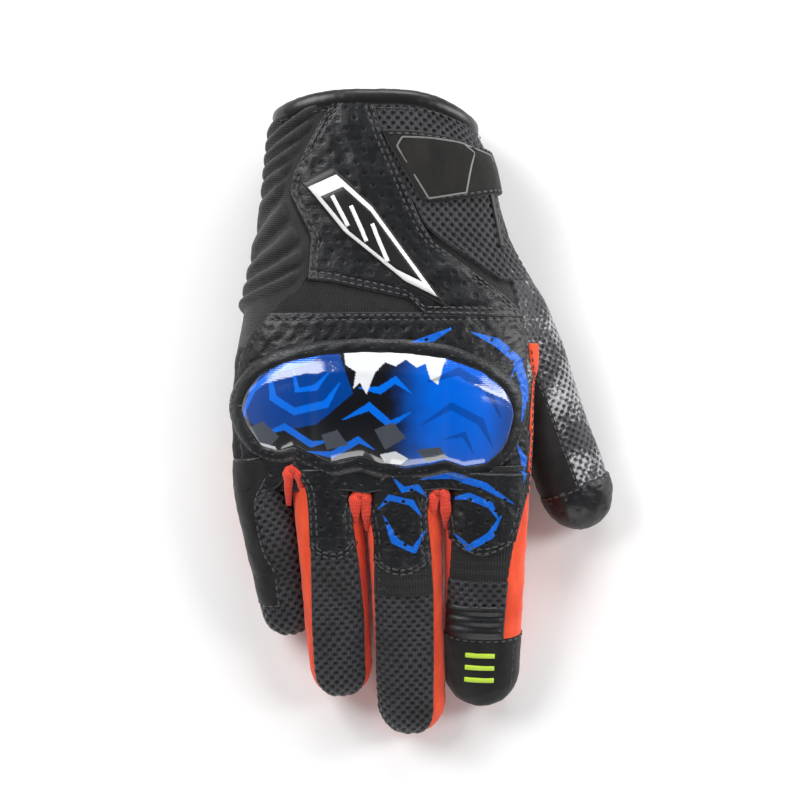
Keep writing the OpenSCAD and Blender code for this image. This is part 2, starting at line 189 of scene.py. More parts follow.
ROOT = {f: np.array(JOINTS[f"{f}_root_hinge"]["pos_m"]) / MM for f in FINGERS}
CUFF_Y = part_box("palm_suede")[1][1] / MM + 3.5
ROOT_Y = ROOT["middle"][1]
THUMB_BASE = np.array(JOINTS["thumb_root_hinge"]["pos_m"]) / MM

left_side = curve([(126, -52.5), (120, -54.8), (98, -56.8), (80, -58), (65, -61), (54, -63.2),
                   (40, -66.8), (24, -69.6), (5, -71.9), (-13, -71.8), (-25, -70), (-40, -66)], 14)
right_side = curve([(126, 20.5), (116, 24.5), (105, 28), (92, 30), (78, 32), (67, 34.5), (57, 38),
                    (46, 41.5), (36, 44), (24, 45.5), (10, 46.5), (-10, 46.5), (-31, 45), (-40, 44)], 14)
top_side = curve([(126, 46.6), (100, 46.6), (80, 45.2), (62, 44.8), (45, 46), (25, 46.6), (8, 45.2),
                  (-10, 42.6), (-24, 40.6), (-40, 38.6)], 14)
under_side = curve([(126, 6.4), (100, 5.8), (80, 6.8), (60, 6.6), (40, 6.4), (25, 7), (10, 9.6),
                    (-8, 13.4), (-24, 15.6), (-40, 16.4)], 14)
ball = curve([(84, 0), (72, 0.04), (58, 0.2), (44, 0.32), (30, 0.36), (22, 0.2), (12, -0.12), (0, -0.22),
              (-30, -0.2), (-40, -0.2)], 8)


def hand_section(y, count=240):
    t = np.radians(270 - np.linspace(0, 360, count, endpoint=False))
    power = 2.45
    c = np.sign(np.cos(t)) * np.abs(np.cos(t)) ** (2 / power)
    z = np.sign(np.sin(t)) * np.abs(np.sin(t)) ** (2 / power)
    lx, rx, tz, uz = left_side(y), right_side(y), top_side(y), under_side(y)
    mid, half = (lx + rx) / 2, (rx - lx) / 2
    wide = np.where(c > 0, 1 + ball(y) * np.clip(0.4 - z, 0, None) / 1.4, 1)
    x = mid + half * c * wide
    height = (tz + uz) / 2 + (tz - uz) / 2 * z
    fall = 5 * np.clip((mid - x) / half, 0, 1) ** 2 * (1 - ramp(y, ROOT_Y, ROOT_Y + 80))
    sweep = np.where(c < 0, 7, 12) * np.abs(c) ** 3 * ramp(y, 84, 126)
    return np.stack([x, y - sweep, height - fall], 1)


hand_rows = np.arange(-40, CUFF_Y + 3, 0.75)
HAND = Tube(hand_rows, [hand_section(y) for y in hand_rows])


# ---------------------------------------------------------------- fingers and thumb

class Digit:
    """Bones, widths and follow rules of a finger or the thumb."""

    def __init__(self, name, pivots, end, axis, bodies, widths, heights, back_run, zone, power=2.35,
                 tip_round=0.55, shift=(0, 0, 0)):
        self.name, self.bodies, self.axis = name, bodies, unit(np.array(axis, float))
        self.pivots = [np.array(p, float) for p in pivots]
        bones = self.pivots + [np.array(end, float)]
        self.lengths = [np.linalg.norm(b - a) for a, b in zip(bones, bones[1:])]
        self.total = sum(self.lengths)
        self.zone = zone
        first = unit(bones[1] - bones[0])
        track = [bones[0] - first * back_run] + bones
        run = np.concatenate([[-back_run], np.concatenate([[0], np.cumsum(self.lengths)])])
        s = np.linspace(-back_run, self.total, int((self.total + back_run) / 0.5) + 1)
        line = np.stack([np.interp(s, run, np.array(track)[:, i]) for i in range(3)], 1)
        line[:, 0] += np.interp(s, [-back_run, 0, self.total], shift)
        kernel = np.hanning(23)
        pad = np.pad(line, ((11, 11), (0, 0)), mode="reflect", reflect_type="odd")
        line = np.stack([np.convolve(pad[:, i], kernel / kernel.sum(), "valid") for i in range(3)], 1)
        tangent = unit(np.gradient(line, axis=0))
        width, height = curve(widths, 6), curve(heights, 6)
        round_from = self.total - tip_round * widths[-1][1]
        rows = []
        for k, sk in enumerate(s):
            up = unit(np.cross(tangent[k], self.axis))
            shrink = math.sqrt(max(1
                                   - max(0, (sk - round_from) / (self.total + 0.004 - round_from)) ** 2.2,
                                   0.0008))
            rows.append(section_loop(line[k], self.axis, up, width(sk) / 2 * shrink,
                                     height(sk) / 2 * shrink, power))
        self.tube = Tube(s, rows)
        self.width = width

    def follow(self, joint):
        """The blend rule for a piece over one of the digit's joints: its two bodies, and points either side
        of the pivot.
        """
        pivot = self.pivots[joint]
        ahead = unit((self.pivots + [self.pivots[-1] + (self.pivots[-1] - self.pivots[-2])])[joint + 1]
                     - pivot)
        reach = self.zone[joint] * ahead
        return ("blend", self.bodies[joint], self.bodies[joint + 1], pivot - reach, pivot + reach)


def finger(name, widths, heights, shift=(0, 0, 0)):
    pivots = [np.array(JOINTS[f"{name}_{part}_hinge"]["pos_m"]) / MM
              for part in ("root", "middle", "tip")]
    axis = JOINTS[f"{name}_root_hinge"]["axis"]
    ahead = unit(pivots[2] - pivots[1])
    turn = math.radians(6)
    down = unit(np.cross(np.array(axis), ahead))
    ahead = ahead * math.cos(turn) + down * math.sin(turn)
    reach = (pivots[2][1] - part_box(f"{name}_tip_back")[0][1] / MM) / -ahead[1]
    lengths = [np.linalg.norm(pivots[1] - pivots[0]), np.linalg.norm(pivots[2] - pivots[1])]
    marks = [-18, 0, lengths[0] * 0.5, lengths[0], lengths[0] + lengths[1] * 0.5, lengths[0] + lengths[1],
             sum(lengths) + reach]
    return Digit(name, pivots, pivots[2] + ahead * reach, axis,
                 ["hand"] + [f"{name}_{p}" for p in ("root", "mid", "tip")],
                 list(zip(marks, widths)), list(zip(marks, heights)), 18, [10, 10, 8], shift=shift)


DIGITS = {
    "little": finger("little", [19.0, 20.2, 20.2, 19.6, 19.2, 18.8, 18.4],
                     [22, 20, 19, 18, 17.4, 17, 16.6], (6.5, 3.4, 2.6)),
    "ring": finger("ring", [26.5, 26, 25.2, 24.4, 24.2, 23.8, 22.6],
                   [25, 22.5, 21.5, 20.5, 20, 19.5, 18.6]),
    "middle": finger("middle", [29.5, 28.6, 27.4, 26.4, 26.2, 26, 24.6],
                     [25.5, 23.5, 22.5, 21.4, 21, 20.6, 19.4]),
    "index": finger("index", [32.5, 31.5, 30.6, 29.6, 29.2, 28.6, 26.2],
                    [25.5, 23.5, 22.5, 21.4, 21, 20.8, 19.4]),
}

thumb_pivots = [THUMB_BASE, np.array(JOINTS["thumb_middle_hinge"]["pos_m"]) / MM]
thumb_ahead = unit(thumb_pivots[1] - thumb_pivots[0])
thumb_reach = (thumb_pivots[1][1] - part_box("thumb_tip_back")[0][1] / MM) / -thumb_ahead[1]
THUMB = Digit("thumb", thumb_pivots, thumb_pivots[1] + thumb_ahead * thumb_reach,
              JOINTS["thumb_root_hinge"]["axis"], ["hand", "thumb_root", "thumb_tip"],
              [(-34, 20), (-18, 27), (0, 28.5), (17, 26.5), (34, 25), (50, 25.5), (70, 23)],
              [(-34, 22), (-18, 26), (0, 25), (17, 23.5), (34, 22.5), (50, 22), (70, 20)], 34, [8, 8],
              tip_round=0.6)


# ---------------------------------------------------------------- meshes

def new_object(name, points, faces, material, attributes=None):
    mesh = bpy.data.meshes.new(name)
    points = np.array(points, float)
    points[:, 2] = np.where(points[:, 2] < 1.2, 0.1 + 1.1 * np.exp((points[:, 2] - 1.2) / 1.1),
                            points[:, 2])
    mesh.from_pydata((points * MM).tolist(), [], [list(f) for f in faces])
    for key, (kind, values) in (attributes or {}).items():
        layer = mesh.attributes.new(key, kind, "POINT")
        field = {"FLOAT": "value", "FLOAT_VECTOR": "vector", "FLOAT_COLOR": "color"}[kind]
        layer.data.foreach_set(field, np.asarray(values, np.float32).ravel())
    mesh.shade_smooth()
    mesh.materials.append(material)
    mesh.validate()
    obj = bpy.data.objects.new(name, mesh)
    bpy.context.scene.collection.objects.link(obj)
    return obj


def attach(obj, rule):
    if rule[0] == "blend":
        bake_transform(obj)
    else:
        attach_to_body(obj, rule[1])
    return obj


def ladder(length, step, edges=(0, 0.12, 0.35, 0.7, 1.2, 1.9)):
    """Positions across a panel: close together at both edges, then about a step apart."""
    edge = np.array(edges)
    if length < 2.4 * edge[-1]:
        return np.linspace(0, length, 13)
    inner = np.linspace(edge[-1], length - edge[-1], max(2, int((length - 2 * edge[-1]) / step) + 1))
    return np.concatenate([edge[:-1], inner, length - edge[:-1][::-1]])


def sheet_faces(n, m):
    """The faces of a closed sheet made of two grids of n by m points, one over the other."""
    index = np.arange(n * m).reshape(n, m)
    quads = np.stack([index[:-1, :-1], index[1:, :-1], index[1:, 1:], index[:-1, 1:]], -1).reshape(-1, 4)
    rim = np.concatenate([index[0, :], index[1:, -1], index[-1, -2::-1], index[-2:0:-1, 0]])
    after = np.roll(rim, -1)
    walls = np.stack([rim, after, after + n * m, rim + n * m], -1)
    return np.vstack([quads[:, ::-1], quads + n * m, walls[:, ::-1]])


def panel(name, tube, s_from, s_to, left, right, material, rule, lift=0.5, thick=0.9, step=1.2,
          sides="LRSE",
          relief=None, paint=None, replaces=(), slot=None, edge=1.0, base=-0.6, grooves=(), seams="",
          round_end=0.0, shape=None):
    """A closed sheet on a tube. left and right are arcs as functions of s; sides names the edges that are
    turned down (left, right, start, end); grooves are distances from the edges with a sewn groove."""
    width = float(np.median([right(s) - left(s) for s in np.linspace(s_from, s_to, 9)]))
    across = ladder(width, step) / width
    rows = s_from + ladder(s_to - s_from, step)
    S, U = np.meshgrid(rows, across, indexing="ij")
    L = np.array([float(left(s)) for s in rows])[:, None]
    R = np.array([float(right(s)) for s in rows])[:, None]
    A = L + (R - L) * U
    bulge = 1 - (2 * U - 1) ** 2
    S = S + round_end * (bulge - 1) * ramp(S, (s_from + s_to) / 2, s_to)
    if shape:
        S, A = shape(S, A, U)
    far = np.full(S.shape, 99.0)
    gaps = {"L": (R - L) * U, "R": (R - L) * (1 - U), "S": S - S[:1], "E": S[-1:] - S}
    for key in sides:
        far = np.minimum(far, gaps[key])
    sewn = np.full(S.shape, 99.0)
    for key in seams:
        sewn = np.minimum(sewn, gaps[key])
    turn = np.sqrt(np.clip(1 - (1 - np.clip(far / edge, 0, 1)) ** 2, 0, 1))
    height = base + (lift + thick - base) * turn
    for g in grooves:
        height = height - 0.3 * np.exp(-((sewn - g) / 0.45) ** 2)
    body = np.clip(far / 2.5, 0, 1)
    level = relief(A, S, far) if relief else np.zeros(S.shape)
    height = height + level * body
    n, m = S.shape
    top = tube.at(S, A, height).reshape(-1, 3)
    low = tube.at(S, A, base - 0.35).reshape(-1, 3)
    cloth = np.stack([A, S, far], -1).reshape(-1, 3)
    attributes = {
        "cloth": ("FLOAT_VECTOR", np.vstack([cloth, cloth])),
        "relief": ("FLOAT", np.tile(level.ravel(), 2)),
    }
    if paint:
        colours = paint(tube.at(S, A, 0)).reshape(-1, 4)
        attributes["paint"] = ("FLOAT_COLOR", np.vstack([colours, colours]))
    obj = new_object(name, np.vstack([top, low]), sheet_faces(n, m), material, attributes)
    mesh_is_out(obj)
    attach(obj, rule)
    if replaces:
        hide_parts(*replaces)
    obj["grid"] = [n, m]
    for g in grooves:
        for key in seams:
            s_line, a_line = edge_line(S, A, gaps[key], g, key)
            over = np.interp(g, [0, edge, 99], [0, 1, 1]) * (lift + thick - base) + base - 0.12
            stitches(f"{name}_thread_{key}{round(g * 10)}", tube, s_line, a_line, over, rule)
    return obj


def mesh_is_out(obj):
    """Turn the faces outwards if the closed mesh came out inside out."""
    mesh = obj.data
    count = len(mesh.vertices)
    co = np.empty(count * 3)
    mesh.vertices.foreach_get("co", co)
    co = co.reshape(-1, 3)
    mesh.calc_loop_triangles()
    tri = np.empty(len(mesh.loop_triangles) * 3, int)
    mesh.loop_triangles.foreach_get("vertices", tri)
    a, b, c = (co[tri.reshape(-1, 3)[:, i]] for i in range(3))
    if np.einsum("ij,ij->i", a, np.cross(b, c)).sum() < 0:
        mesh.flip_normals()


def edge_line(S, A, gap, inset, key):
    """The line on the panel that keeps a given distance from one of its edges."""
    if key in "SE":
        S, A, gap = S.T, A.T, gap.T
    if key in "RE":
        S, A, gap = S[:, ::-1], A[:, ::-1], gap[:, ::-1]
    s = np.array([np.interp(inset, gap[k], S[k]) for k in range(len(S))])
    a = np.array([np.interp(inset, gap[k], A[k]) for k in range(len(S))])
    return s[1:-1], a[1:-1]


GRAIN = [(math.cos(t) * r, math.sin(t) * r, z) for z, r in ((-0.6, 0.75), (0, 1), (0.6, 0.75))
         for t in np.linspace(0, math.tau, 6, endpoint=False)] + [(0, 0, -1), (0, 0, 1)]
GRAIN_FACES = ([[k * 6 + j, k * 6 + (j + 1) % 6, k * 6 + 6 + (j + 1) % 6, k * 6 + 6 + j]
                for k in range(2) for j in range(6)]
               + [[18, (j + 1) % 6, j] for j in range(6)]
               + [[19, 12 + j, 12 + (j + 1) % 6] for j in range(6)])


def stitches(name, tube, s, a, off, rule, pitch=3.0, length=2.3, thread=0.78, material=None):
    """Separate raised stitches along a line on a tube."""
    track = tube.at(s, a, off)
    run = np.concatenate([[0], np.cumsum(np.linalg.norm(np.diff(track, axis=0), axis=1))])
    if run[-1] < 2 * pitch:
        return None
    places = np.arange(pitch, run[-1] - pitch / 2, pitch)
    sp, ap = np.interp(places, run, s), np.interp(places, run, a)
    centre = tube.at(sp, ap, off)
    before = np.stack([np.interp(places - 0.4, run, track[:, i]) for i in range(3)], 1)
    after = np.stack([np.interp(places + 0.4, run, track[:, i]) for i in range(3)], 1)
    ahead = unit(after - before)
    up = tube.normal(sp, ap)
    side = unit(np.cross(up, ahead))
    grain = np.array(GRAIN)
    points = (centre[:, None] + side[:, None] * grain[None, :, :1] * thread / 2
              + up[:, None] * grain[None, :, 1:2] * thread / 2.4 + ahead[:, None] * grain[None, :, 2:]
              * length / 2)
    faces = [[v + k * len(grain) for v in face] for k in range(len(places)) for face in GRAIN_FACES]
    obj = new_object(name, points.reshape(-1, 3), faces, material or THREAD)
    return attach(obj, rule)


# ---------------------------------------------------------------- materials

class Shade:
    """A node material, with the node calls kept short. Vectors come in millimetres."""

    def __init__(self, name, rough=0.5, **sockets):
        self.mat = bpy.data.materials.new(name)
        self.mat.use_nodes = True
        self.tree = self.mat.node_tree
        self.bsdf = self.tree.nodes["Principled BSDF"]
        self.bsdf.inputs["Roughness"].default_value = rough
        for key, value in sockets.items():
            self.bsdf.inputs[key.replace("_", " ")].default_value = value
        self.cloth = self.tree.nodes.new("ShaderNodeAttribute")
        self.cloth.attribute_name = "cloth"
        where = self.tree.nodes.new("ShaderNodeTexCoord")
        big = self.add("ShaderNodeVectorMath", operation="SCALE", Vector=where.outputs["Object"],
                       Scale=1000.0)
        self.place = big.outputs[0]

    def add(self, kind, index=None, **settings):
        node = self.tree.nodes.new(kind)
        for key, value in settings.items():
            if hasattr(node, key) and key.islower():
                setattr(node, key, value)
                continue
            socket = node.inputs[key] if not key[1:].isdigit() else node.inputs[int(key[1:])]
            if isinstance(value, bpy.types.NodeSocket):
                self.tree.links.new(value, socket)
            else:
                socket.default_value = value
        return node

    def math(self, operation, a, b=0.0, c=0.0):
        return self.add("ShaderNodeMath", operation=operation, I0=a, I1=b, I2=c).outputs[0]

    def step(self, value, lo, hi):
        return self.add("ShaderNodeMapRange", interpolation_type="SMOOTHSTEP", Value=value,
                        **{"From Min": lo, "From Max": hi}).outputs[0]

    def mix(self, fac, a, b):
        node = self.add("ShaderNodeMix", data_type="RGBA", I0=fac, I6=a, I7=b)
        return node.outputs[2]

    def attribute(self, name, output="Fac"):
        return self.add("ShaderNodeAttribute", attribute_name=name).outputs[output]

    def split(self):
        return self.add("ShaderNodeSeparateXYZ", Vector=self.cloth.outputs["Vector"]).outputs

    def noise(self, scale, detail=3.0, vector=None):
        return self.add("ShaderNodeTexNoise", Vector=vector or self.place, Scale=scale,
                        Detail=detail).outputs["Fac"]

    def finish(self, colour, height=None, depth=0.1, rough=None):
        if isinstance(colour, bpy.types.NodeSocket):
            self.tree.links.new(colour, self.bsdf.inputs["Base Color"])
        else:
            self.bsdf.inputs["Base Color"].default_value = colour
        if rough is not None:
            self.tree.links.new(rough, self.bsdf.inputs["Roughness"])
        if height is not None:
            bump = self.add("ShaderNodeBump", Height=height, Distance=depth * MM, Strength=1.0)
            self.tree.links.new(bump.outputs[0], self.bsdf.inputs["Normal"])
        return self.mat


def rgb(r, g, b):
    return (r, g, b, 1.0)


def leather(name, dark, light, rough=0.4, holes=False, cell=0.85):
    m = Shade(name, rough, **{"Specular_IOR_Level": 0.42})
    cells = m.add("ShaderNodeTexVoronoi", feature="DISTANCE_TO_EDGE", Vector=m.place,
                  Scale=cell).outputs["Distance"]
    grain = m.step(cells, 0.0, 0.3)
    fine = m.noise(1.2, 2.0)
    fold = m.noise(0.11, 3.0)
    drawn = m.noise(0.5, 2.0,
                    m.add("ShaderNodeMapping", Vector=m.place, Rotation=(0.0, 0.0, 0.35),
                          Scale=(0.3, 1.1, 1.0)).outputs[0])
    height = m.math("ADD", m.math("MULTIPLY", grain, 0.3), m.math("MULTIPLY", fine, 0.25))
    height = m.math("ADD", height, m.math("MULTIPLY", fold, 1.1))
    height = m.math("ADD", height, m.math("MULTIPLY", m.step(drawn, 0.3, 0.6), 0.45))
    tone = m.step(m.math("ADD", m.math("MULTIPLY", fold, 0.85), m.math("MULTIPLY", fine, 0.2)), 0.35, 0.8)
    paint = m.add("ShaderNodeAttribute", attribute_name="paint")
    cover = m.math("MULTIPLY", m.step(paint.outputs["Alpha"], 0.45, 0.55), 0.93)
    colour = m.mix(cover, m.mix(tone, dark, light), paint.outputs["Color"])
    # painted shade: the colour runs towards near black in the crevices between the grain's pebbles, from
    # the same cells as the bump
    colour = m.mix(m.math("MULTIPLY", m.math("SUBTRACT", 1.0, grain), 0.3), colour,
                   rgb(0.002, 0.002, 0.003))
    worn = m.math("MULTIPLY", m.step(m.split()[2], 1.4, 0.2), m.step(fine, 0.35, 0.7))
    colour = m.mix(m.math("MULTIPLY", worn, 0.12), colour, rgb(0.12, 0.12, 0.125))
    if holes:
        a, s, _ = m.split()
        row = m.math("DIVIDE", s, 4.3)
        odd = m.math("MODULO", m.math("FLOOR", m.math("ADD", row, 400.0)), 2.0)
        column = m.math("ADD", m.math("DIVIDE", a, 6.4),
                        m.math("ADD", m.math("MULTIPLY", odd, 0.5), 40.0))
        da = m.math("MULTIPLY", m.math("SUBTRACT", m.math("FRACT", column), 0.5), 6.4)
        ds = m.math("MULTIPLY", m.math("SUBTRACT", m.math("FRACT", m.math("ADD", row, 400.0)), 0.5), 4.3)
        far = m.math("SQRT", m.math("ADD", m.math("MULTIPLY", da, da), m.math("MULTIPLY", ds, ds)))
        zone = m.attribute("mask")
        hole = m.math("MULTIPLY", m.step(far, 0.78, 0.55), zone)
        rim = m.math("MULTIPLY", m.step(far, 1.7, 0.7), zone)
        height = m.math("ADD", height,
                        m.math("SUBTRACT", m.math("MULTIPLY", rim, -1.2), m.math("MULTIPLY", hole, 5.0)))
        # the holes are coloured near black: partly the black lining seen through them, partly painted shade
        # inside them
        colour = m.mix(hole, colour, rgb(0.0005, 0.0005, 0.0006))
    rough_map = m.math("ADD", m.math("MULTIPLY", fine, 0.12),
                       m.math("SUBTRACT", rough - 0.05, m.math("MULTIPLY", worn, 0.08)))
    return m.finish(colour, height, 0.085, rough_map)


def suede(name, dark, light, rough=0.9, sheen=0.35, nap=0.22):
    m = Shade(name, rough, **{"Sheen_Weight": sheen, "Sheen_Roughness": 0.45, "Specular_IOR_Level": 0.2})
    fibre = m.noise(3.4, 6.0)
    stretched = m.add("ShaderNodeMapping", Vector=m.place, Scale=(1.0, 0.35, 1.0)).outputs[0]
    cloud = m.noise(0.16, 4.0, stretched)
    tone = m.step(m.math("ADD", m.math("MULTIPLY", fibre, 0.45), m.math("MULTIPLY", cloud, 0.75)), 0.35,
                  0.85)
    colour = m.mix(tone, dark, light)
    worn = m.math("MULTIPLY", m.step(m.split()[2], 1.6, 0.1), m.step(fibre, 0.4, 0.65))
    colour = m.mix(m.math("MULTIPLY", worn, 0.3), colour, light)
    rough_map = m.math("ADD", m.math("MULTIPLY", cloud, 0.16), rough - 0.1)
    return m.finish(colour, fibre, nap, rough_map)


def knit(name, dark, light, course=1.1, wale=0.9, rough=0.75, sheen=0.3, slant=0.0):
    """Fine rows of stitches along the cloth's own directions."""
    m = Shade(name, rough, **{"Sheen_Weight": sheen, "Sheen_Roughness": 0.5, "Specular_IOR_Level": 0.3})
    a, s, _ = m.split()
    lean = m.math("ADD", a, m.math("MULTIPLY", s, slant))
    turn = m.math("SINE", m.math("MULTIPLY", lean, math.tau / wale))
    loop = m.math("SINE",
                  m.math("ADD", m.math("MULTIPLY", s, math.tau / course), m.math("MULTIPLY", turn, 1.1)))
    fuzz = m.noise(4.5, 3.0)
    height = m.math("ADD", m.math("ADD", turn, m.math("MULTIPLY", loop, 0.7)), fuzz)
    cloud = m.noise(0.14, 3.0)
    # tone: random cloudy tone, plus painted shade, as the colour follows the stitch height of the bump,
    # darker in the grooves and lighter on the stitch tops
    tone = m.step(m.math("ADD", height, m.math("MULTIPLY", cloud, 2.2)), -0.6, 3.4)
    return m.finish(m.mix(tone, dark, light), height, 0.09)


def spacer(name, hollow, thread, glint, rough=0.55, printed=False):
    """Holed mesh: the relief attribute tells the thread from the hollow; the hollow is coloured near black,
    partly the dark cloth below and partly painted shade.
    """
    m = Shade(name, rough, **{"Sheen_Weight": 0.25, "Sheen_Roughness": 0.4, "Specular_IOR_Level": 0.4})
    level = m.attribute("relief")
    top = m.step(level, -0.62, 0.12)
    twist = m.add("ShaderNodeTexWave", Vector=m.place, Scale=0.55, Distortion=3.0,
                  Detail=2.0).outputs["Fac"]
    fine = m.noise(5.0, 2.0)
    # the thread colour is mixed with painted glints along a wave and noise pattern
    yarn = m.mix(m.step(m.math("ADD", m.math("MULTIPLY", twist, 0.5), m.math("MULTIPLY", fine, 0.6)),
                        0.35, 0.95), thread, glint)
    if printed:
        cloud = m.noise(0.06, 3.0)
        speck = m.noise(0.75, 4.0)
        mark = m.math("MULTIPLY",
                      m.step(m.math("ADD", m.math("MULTIPLY", cloud, 0.8),
                                    m.math("MULTIPLY", speck, 0.6)), 0.66, 0.78), m.attribute("mask"))
        yarn = m.mix(mark, yarn, rgb(0.42, 0.42, 0.44))
    # painted shade: colour by relief depth, near black in the hollows and thread colour on the tops
    colour = m.mix(top, hollow, yarn)
    return m.finish(colour, m.math("ADD", twist, fine), 0.05)


def glossy(name, rough=0.12, coat=1.0):
    m = Shade(name, rough,
              **{"Coat_Weight": coat, "Coat_Roughness": 0.035, "Coat_IOR": 1.5,
                 "Specular_IOR_Level": 0.5})
    paint = m.attribute("paint", "Color")
    flake = m.noise(3.5, 3.0)
    wavy = m.noise(0.06, 2.0)
    shine = m.math("ADD", m.math("MULTIPLY", flake, 0.35), 0.8)
    colour = m.add("ShaderNodeVectorMath", operation="SCALE", Vector=paint, Scale=shine).outputs[0]
    scuff = m.add("ShaderNodeTexWave", Vector=m.place, Scale=0.12, Distortion=14.0,
                  Detail=4.0).outputs["Fac"]
    rough_map = m.math("ADD", m.math("MULTIPLY", m.step(scuff, 0.96, 1.0), 0.1), rough)
    return m.finish(colour, m.math("ADD", wavy, m.math("MULTIPLY", flake, 0.015)), 0.25, rough_map)


def moulded(name, colour, rough, texture=0.05, grain=3.0):
    m = Shade(name, rough, **{"Specular_IOR_Level": 0.45})
    fine = m.noise(grain, 4.0)
    cloud = m.noise(0.2, 3.0)
    shaded = m.mix(m.math("MULTIPLY", cloud, 0.5), colour, tuple(c * 0.55 for c in colour[:3]) + (1,))
    worn = m.math("MULTIPLY", m.step(fine, 0.55, 0.75), 0.25)
    shaded = m.mix(worn, shaded, tuple(min(1, c * 1.5 + 0.01) for c in colour[:3]) + (1,))
    return m.finish(shaded, fine, texture, m.math("ADD", m.math("MULTIPLY", fine, 0.15), rough - 0.06))


def yarn_shade(name, colour):
    m = Shade(name, 0.5, **{"Sheen_Weight": 0.4, "Sheen_Roughness": 0.4})
    twist = m.add("ShaderNodeTexWave", Vector=m.place, Scale=0.9, Distortion=1.5).outputs["Fac"]
    # painted shade: the thread is darker in the grooves of its twist, from the same wave as the bump
    tint = m.mix(twist, tuple(c * 0.5 for c in colour[:3]) + (1,), colour)
    return m.finish(tint, twist, 0.05)


def pile(name, colour, hooks=False):
    m = Shade(name, 0.95, **{"Sheen_Weight": 0.2})
    cell = m.add("ShaderNodeTexVoronoi", Vector=m.place, Scale=0.8 if hooks else 1.5).outputs["Distance"]
    fine = m.noise(3.0, 5.0)
    height = m.math("SUBTRACT", fine, cell)
    # painted shade: darker in the low places between the tufts, from the same height as the bump
    tone = m.step(height, -0.3, 0.6)
    return m.finish(m.mix(tone, tuple(c * 0.3 for c in colour[:3]) + (1,), colour), height, 0.3)


LEATHER = leather("grained_leather", rgb(0.0045, 0.005, 0.006), rgb(0.0125, 0.0135, 0.016), holes=True)
FINGER_LEATHER = leather("finger_leather", rgb(0.0045, 0.005, 0.006), rgb(0.0125, 0.0135, 0.016),
                         holes=True)
RIB = knit("stretch_rib_fabric", rgb(0.0045, 0.0042, 0.004), rgb(0.019, 0.0175, 0.0165), 0.8, 0.7,
           slant=0.6)
KNIT = knit("stretch_knit_fabric", rgb(0.0025, 0.0025, 0.003), rgb(0.014, 0.014, 0.016), 0.9, 1.1,
            sheen=0.12)
RED = knit("web_knit", rgb(0.62, 0.02, 0.008), rgb(0.95, 0.075, 0.03), 0.7, 0.7, rough=0.6, sheen=0.2)
LINING = knit("lining_fabric", rgb(0.004, 0.004, 0.005), rgb(0.016, 0.016, 0.018), 0.8, 0.8, rough=0.85)
SUEDE = suede("dark_suede", rgb(0.0045, 0.0042, 0.0042), rgb(0.021, 0.02, 0.0205), sheen=0.2)
ORANGE = suede("orange_suede", rgb(0.6, 0.04, 0.01), rgb(0.88, 0.1, 0.035), 0.8, 0.2, 0.14)
MESH = spacer("spacer_mesh", rgb(0.0008, 0.0008, 0.0012), rgb(0.0065, 0.0065, 0.009),
              rgb(0.075, 0.075, 0.09))
PRINTED_MESH = spacer("printed_mesh", rgb(0.002, 0.002, 0.0025), rgb(0.018, 0.018, 0.023),
                      rgb(0.11, 0.11, 0.125), printed=True)
BINDING = moulded("binding_leather", rgb(0.009, 0.009, 0.0098), 0.32, 0.03, 1.2)
STRAP = suede("strap_suede", rgb(0.0075, 0.007, 0.0067), rgb(0.02, 0.0188, 0.0178), 0.8, 0.12, 0.12)
SILVER = moulded("silver_print", rgb(0.17, 0.17, 0.165), 0.35, 0.02)
WHITE = moulded("badge_white", rgb(0.84, 0.84, 0.83), 0.35, 0.01)
BLACK_RUBBER = moulded("badge_black", rgb(0.0085, 0.0085, 0.009), 0.4, 0.04)
GLOSS = glossy("guard_gloss")
SLIDER = moulded("slider_plastic", rgb(0.014, 0.014, 0.015), 0.4, 0.08, 1.4)
FOAM = moulded("foam_black", rgb(0.012, 0.012, 0.012), 0.9, 0.3, 1.6)
LIME = moulded("lime_print", rgb(0.55, 0.8, 0.05), 0.5, 0.02)
THREAD = yarn_shade("black_thread", rgb(0.05, 0.05, 0.055))
LOOPS = pile("loop_pile", rgb(0.03, 0.03, 0.03))
HOOKS = pile("hook_tape", rgb(0.045, 0.045, 0.045), hooks=True)
ON_HAND = ("ride", "hand")


# ---------------------------------------------------------------- surface detail

def mesh_holes(pitch=3.5, depth=0.85, radius=0.92):
    """Rows of round hollows, every second row shifted by half a pitch."""
    rise = pitch * 0.56

    def relief(a, s, far):
        best = np.full(a.shape, 9.0)
        for shift, offset in ((0, 0), (0.5, rise)):
            da = (a / pitch + shift) % 1 - 0.5
            ds = ((s + offset) / (2 * rise)) % 1 - 0.5
            best = np.minimum(best, np.hypot(da * pitch, ds * 2 * rise))
        hollow = 1 - ramp(best, radius * 0.55, radius * 1.35)
        ridge = 0.12 * np.sin(a / pitch * math.tau * 2) * np.sin(s / rise * math.tau)
        return -depth * hollow + ridge * (1 - hollow) + 0.22 * waves(a, s, 26, 5)
    return relief


def creases(seed, size=20, amount=0.32, pucker=0.1):
    def relief(a, s, far):
        soft = waves(a, s * 0.8, size, seed) * amount
        fine = waves(a * 1.1, s, size * 0.34, seed + 1, 2) * amount * 0.32
        gather = np.sin((a + s) * 2.1
                        + waves(a, s, 9, seed + 2)) * np.exp(-((far - 2.6) / 1.4) ** 2) * pucker
        return soft + fine + gather
    return relief


def plan(points, soft=5.0, tube=HAND):
    """An edge given by plan positions: the arc on the upper side at each y."""
    line = curve(points, soft)
    grid = np.arange(min(p[0] for p in points) - 6, max(p[0] for p in points) + 6, 1.5)
    arcs = tube.arc_of(grid, line(grid))
    return lambda s: np.interp(s, grid, arcs)


def share(value, tube=HAND):
    return lambda s: value * tube.around(s)


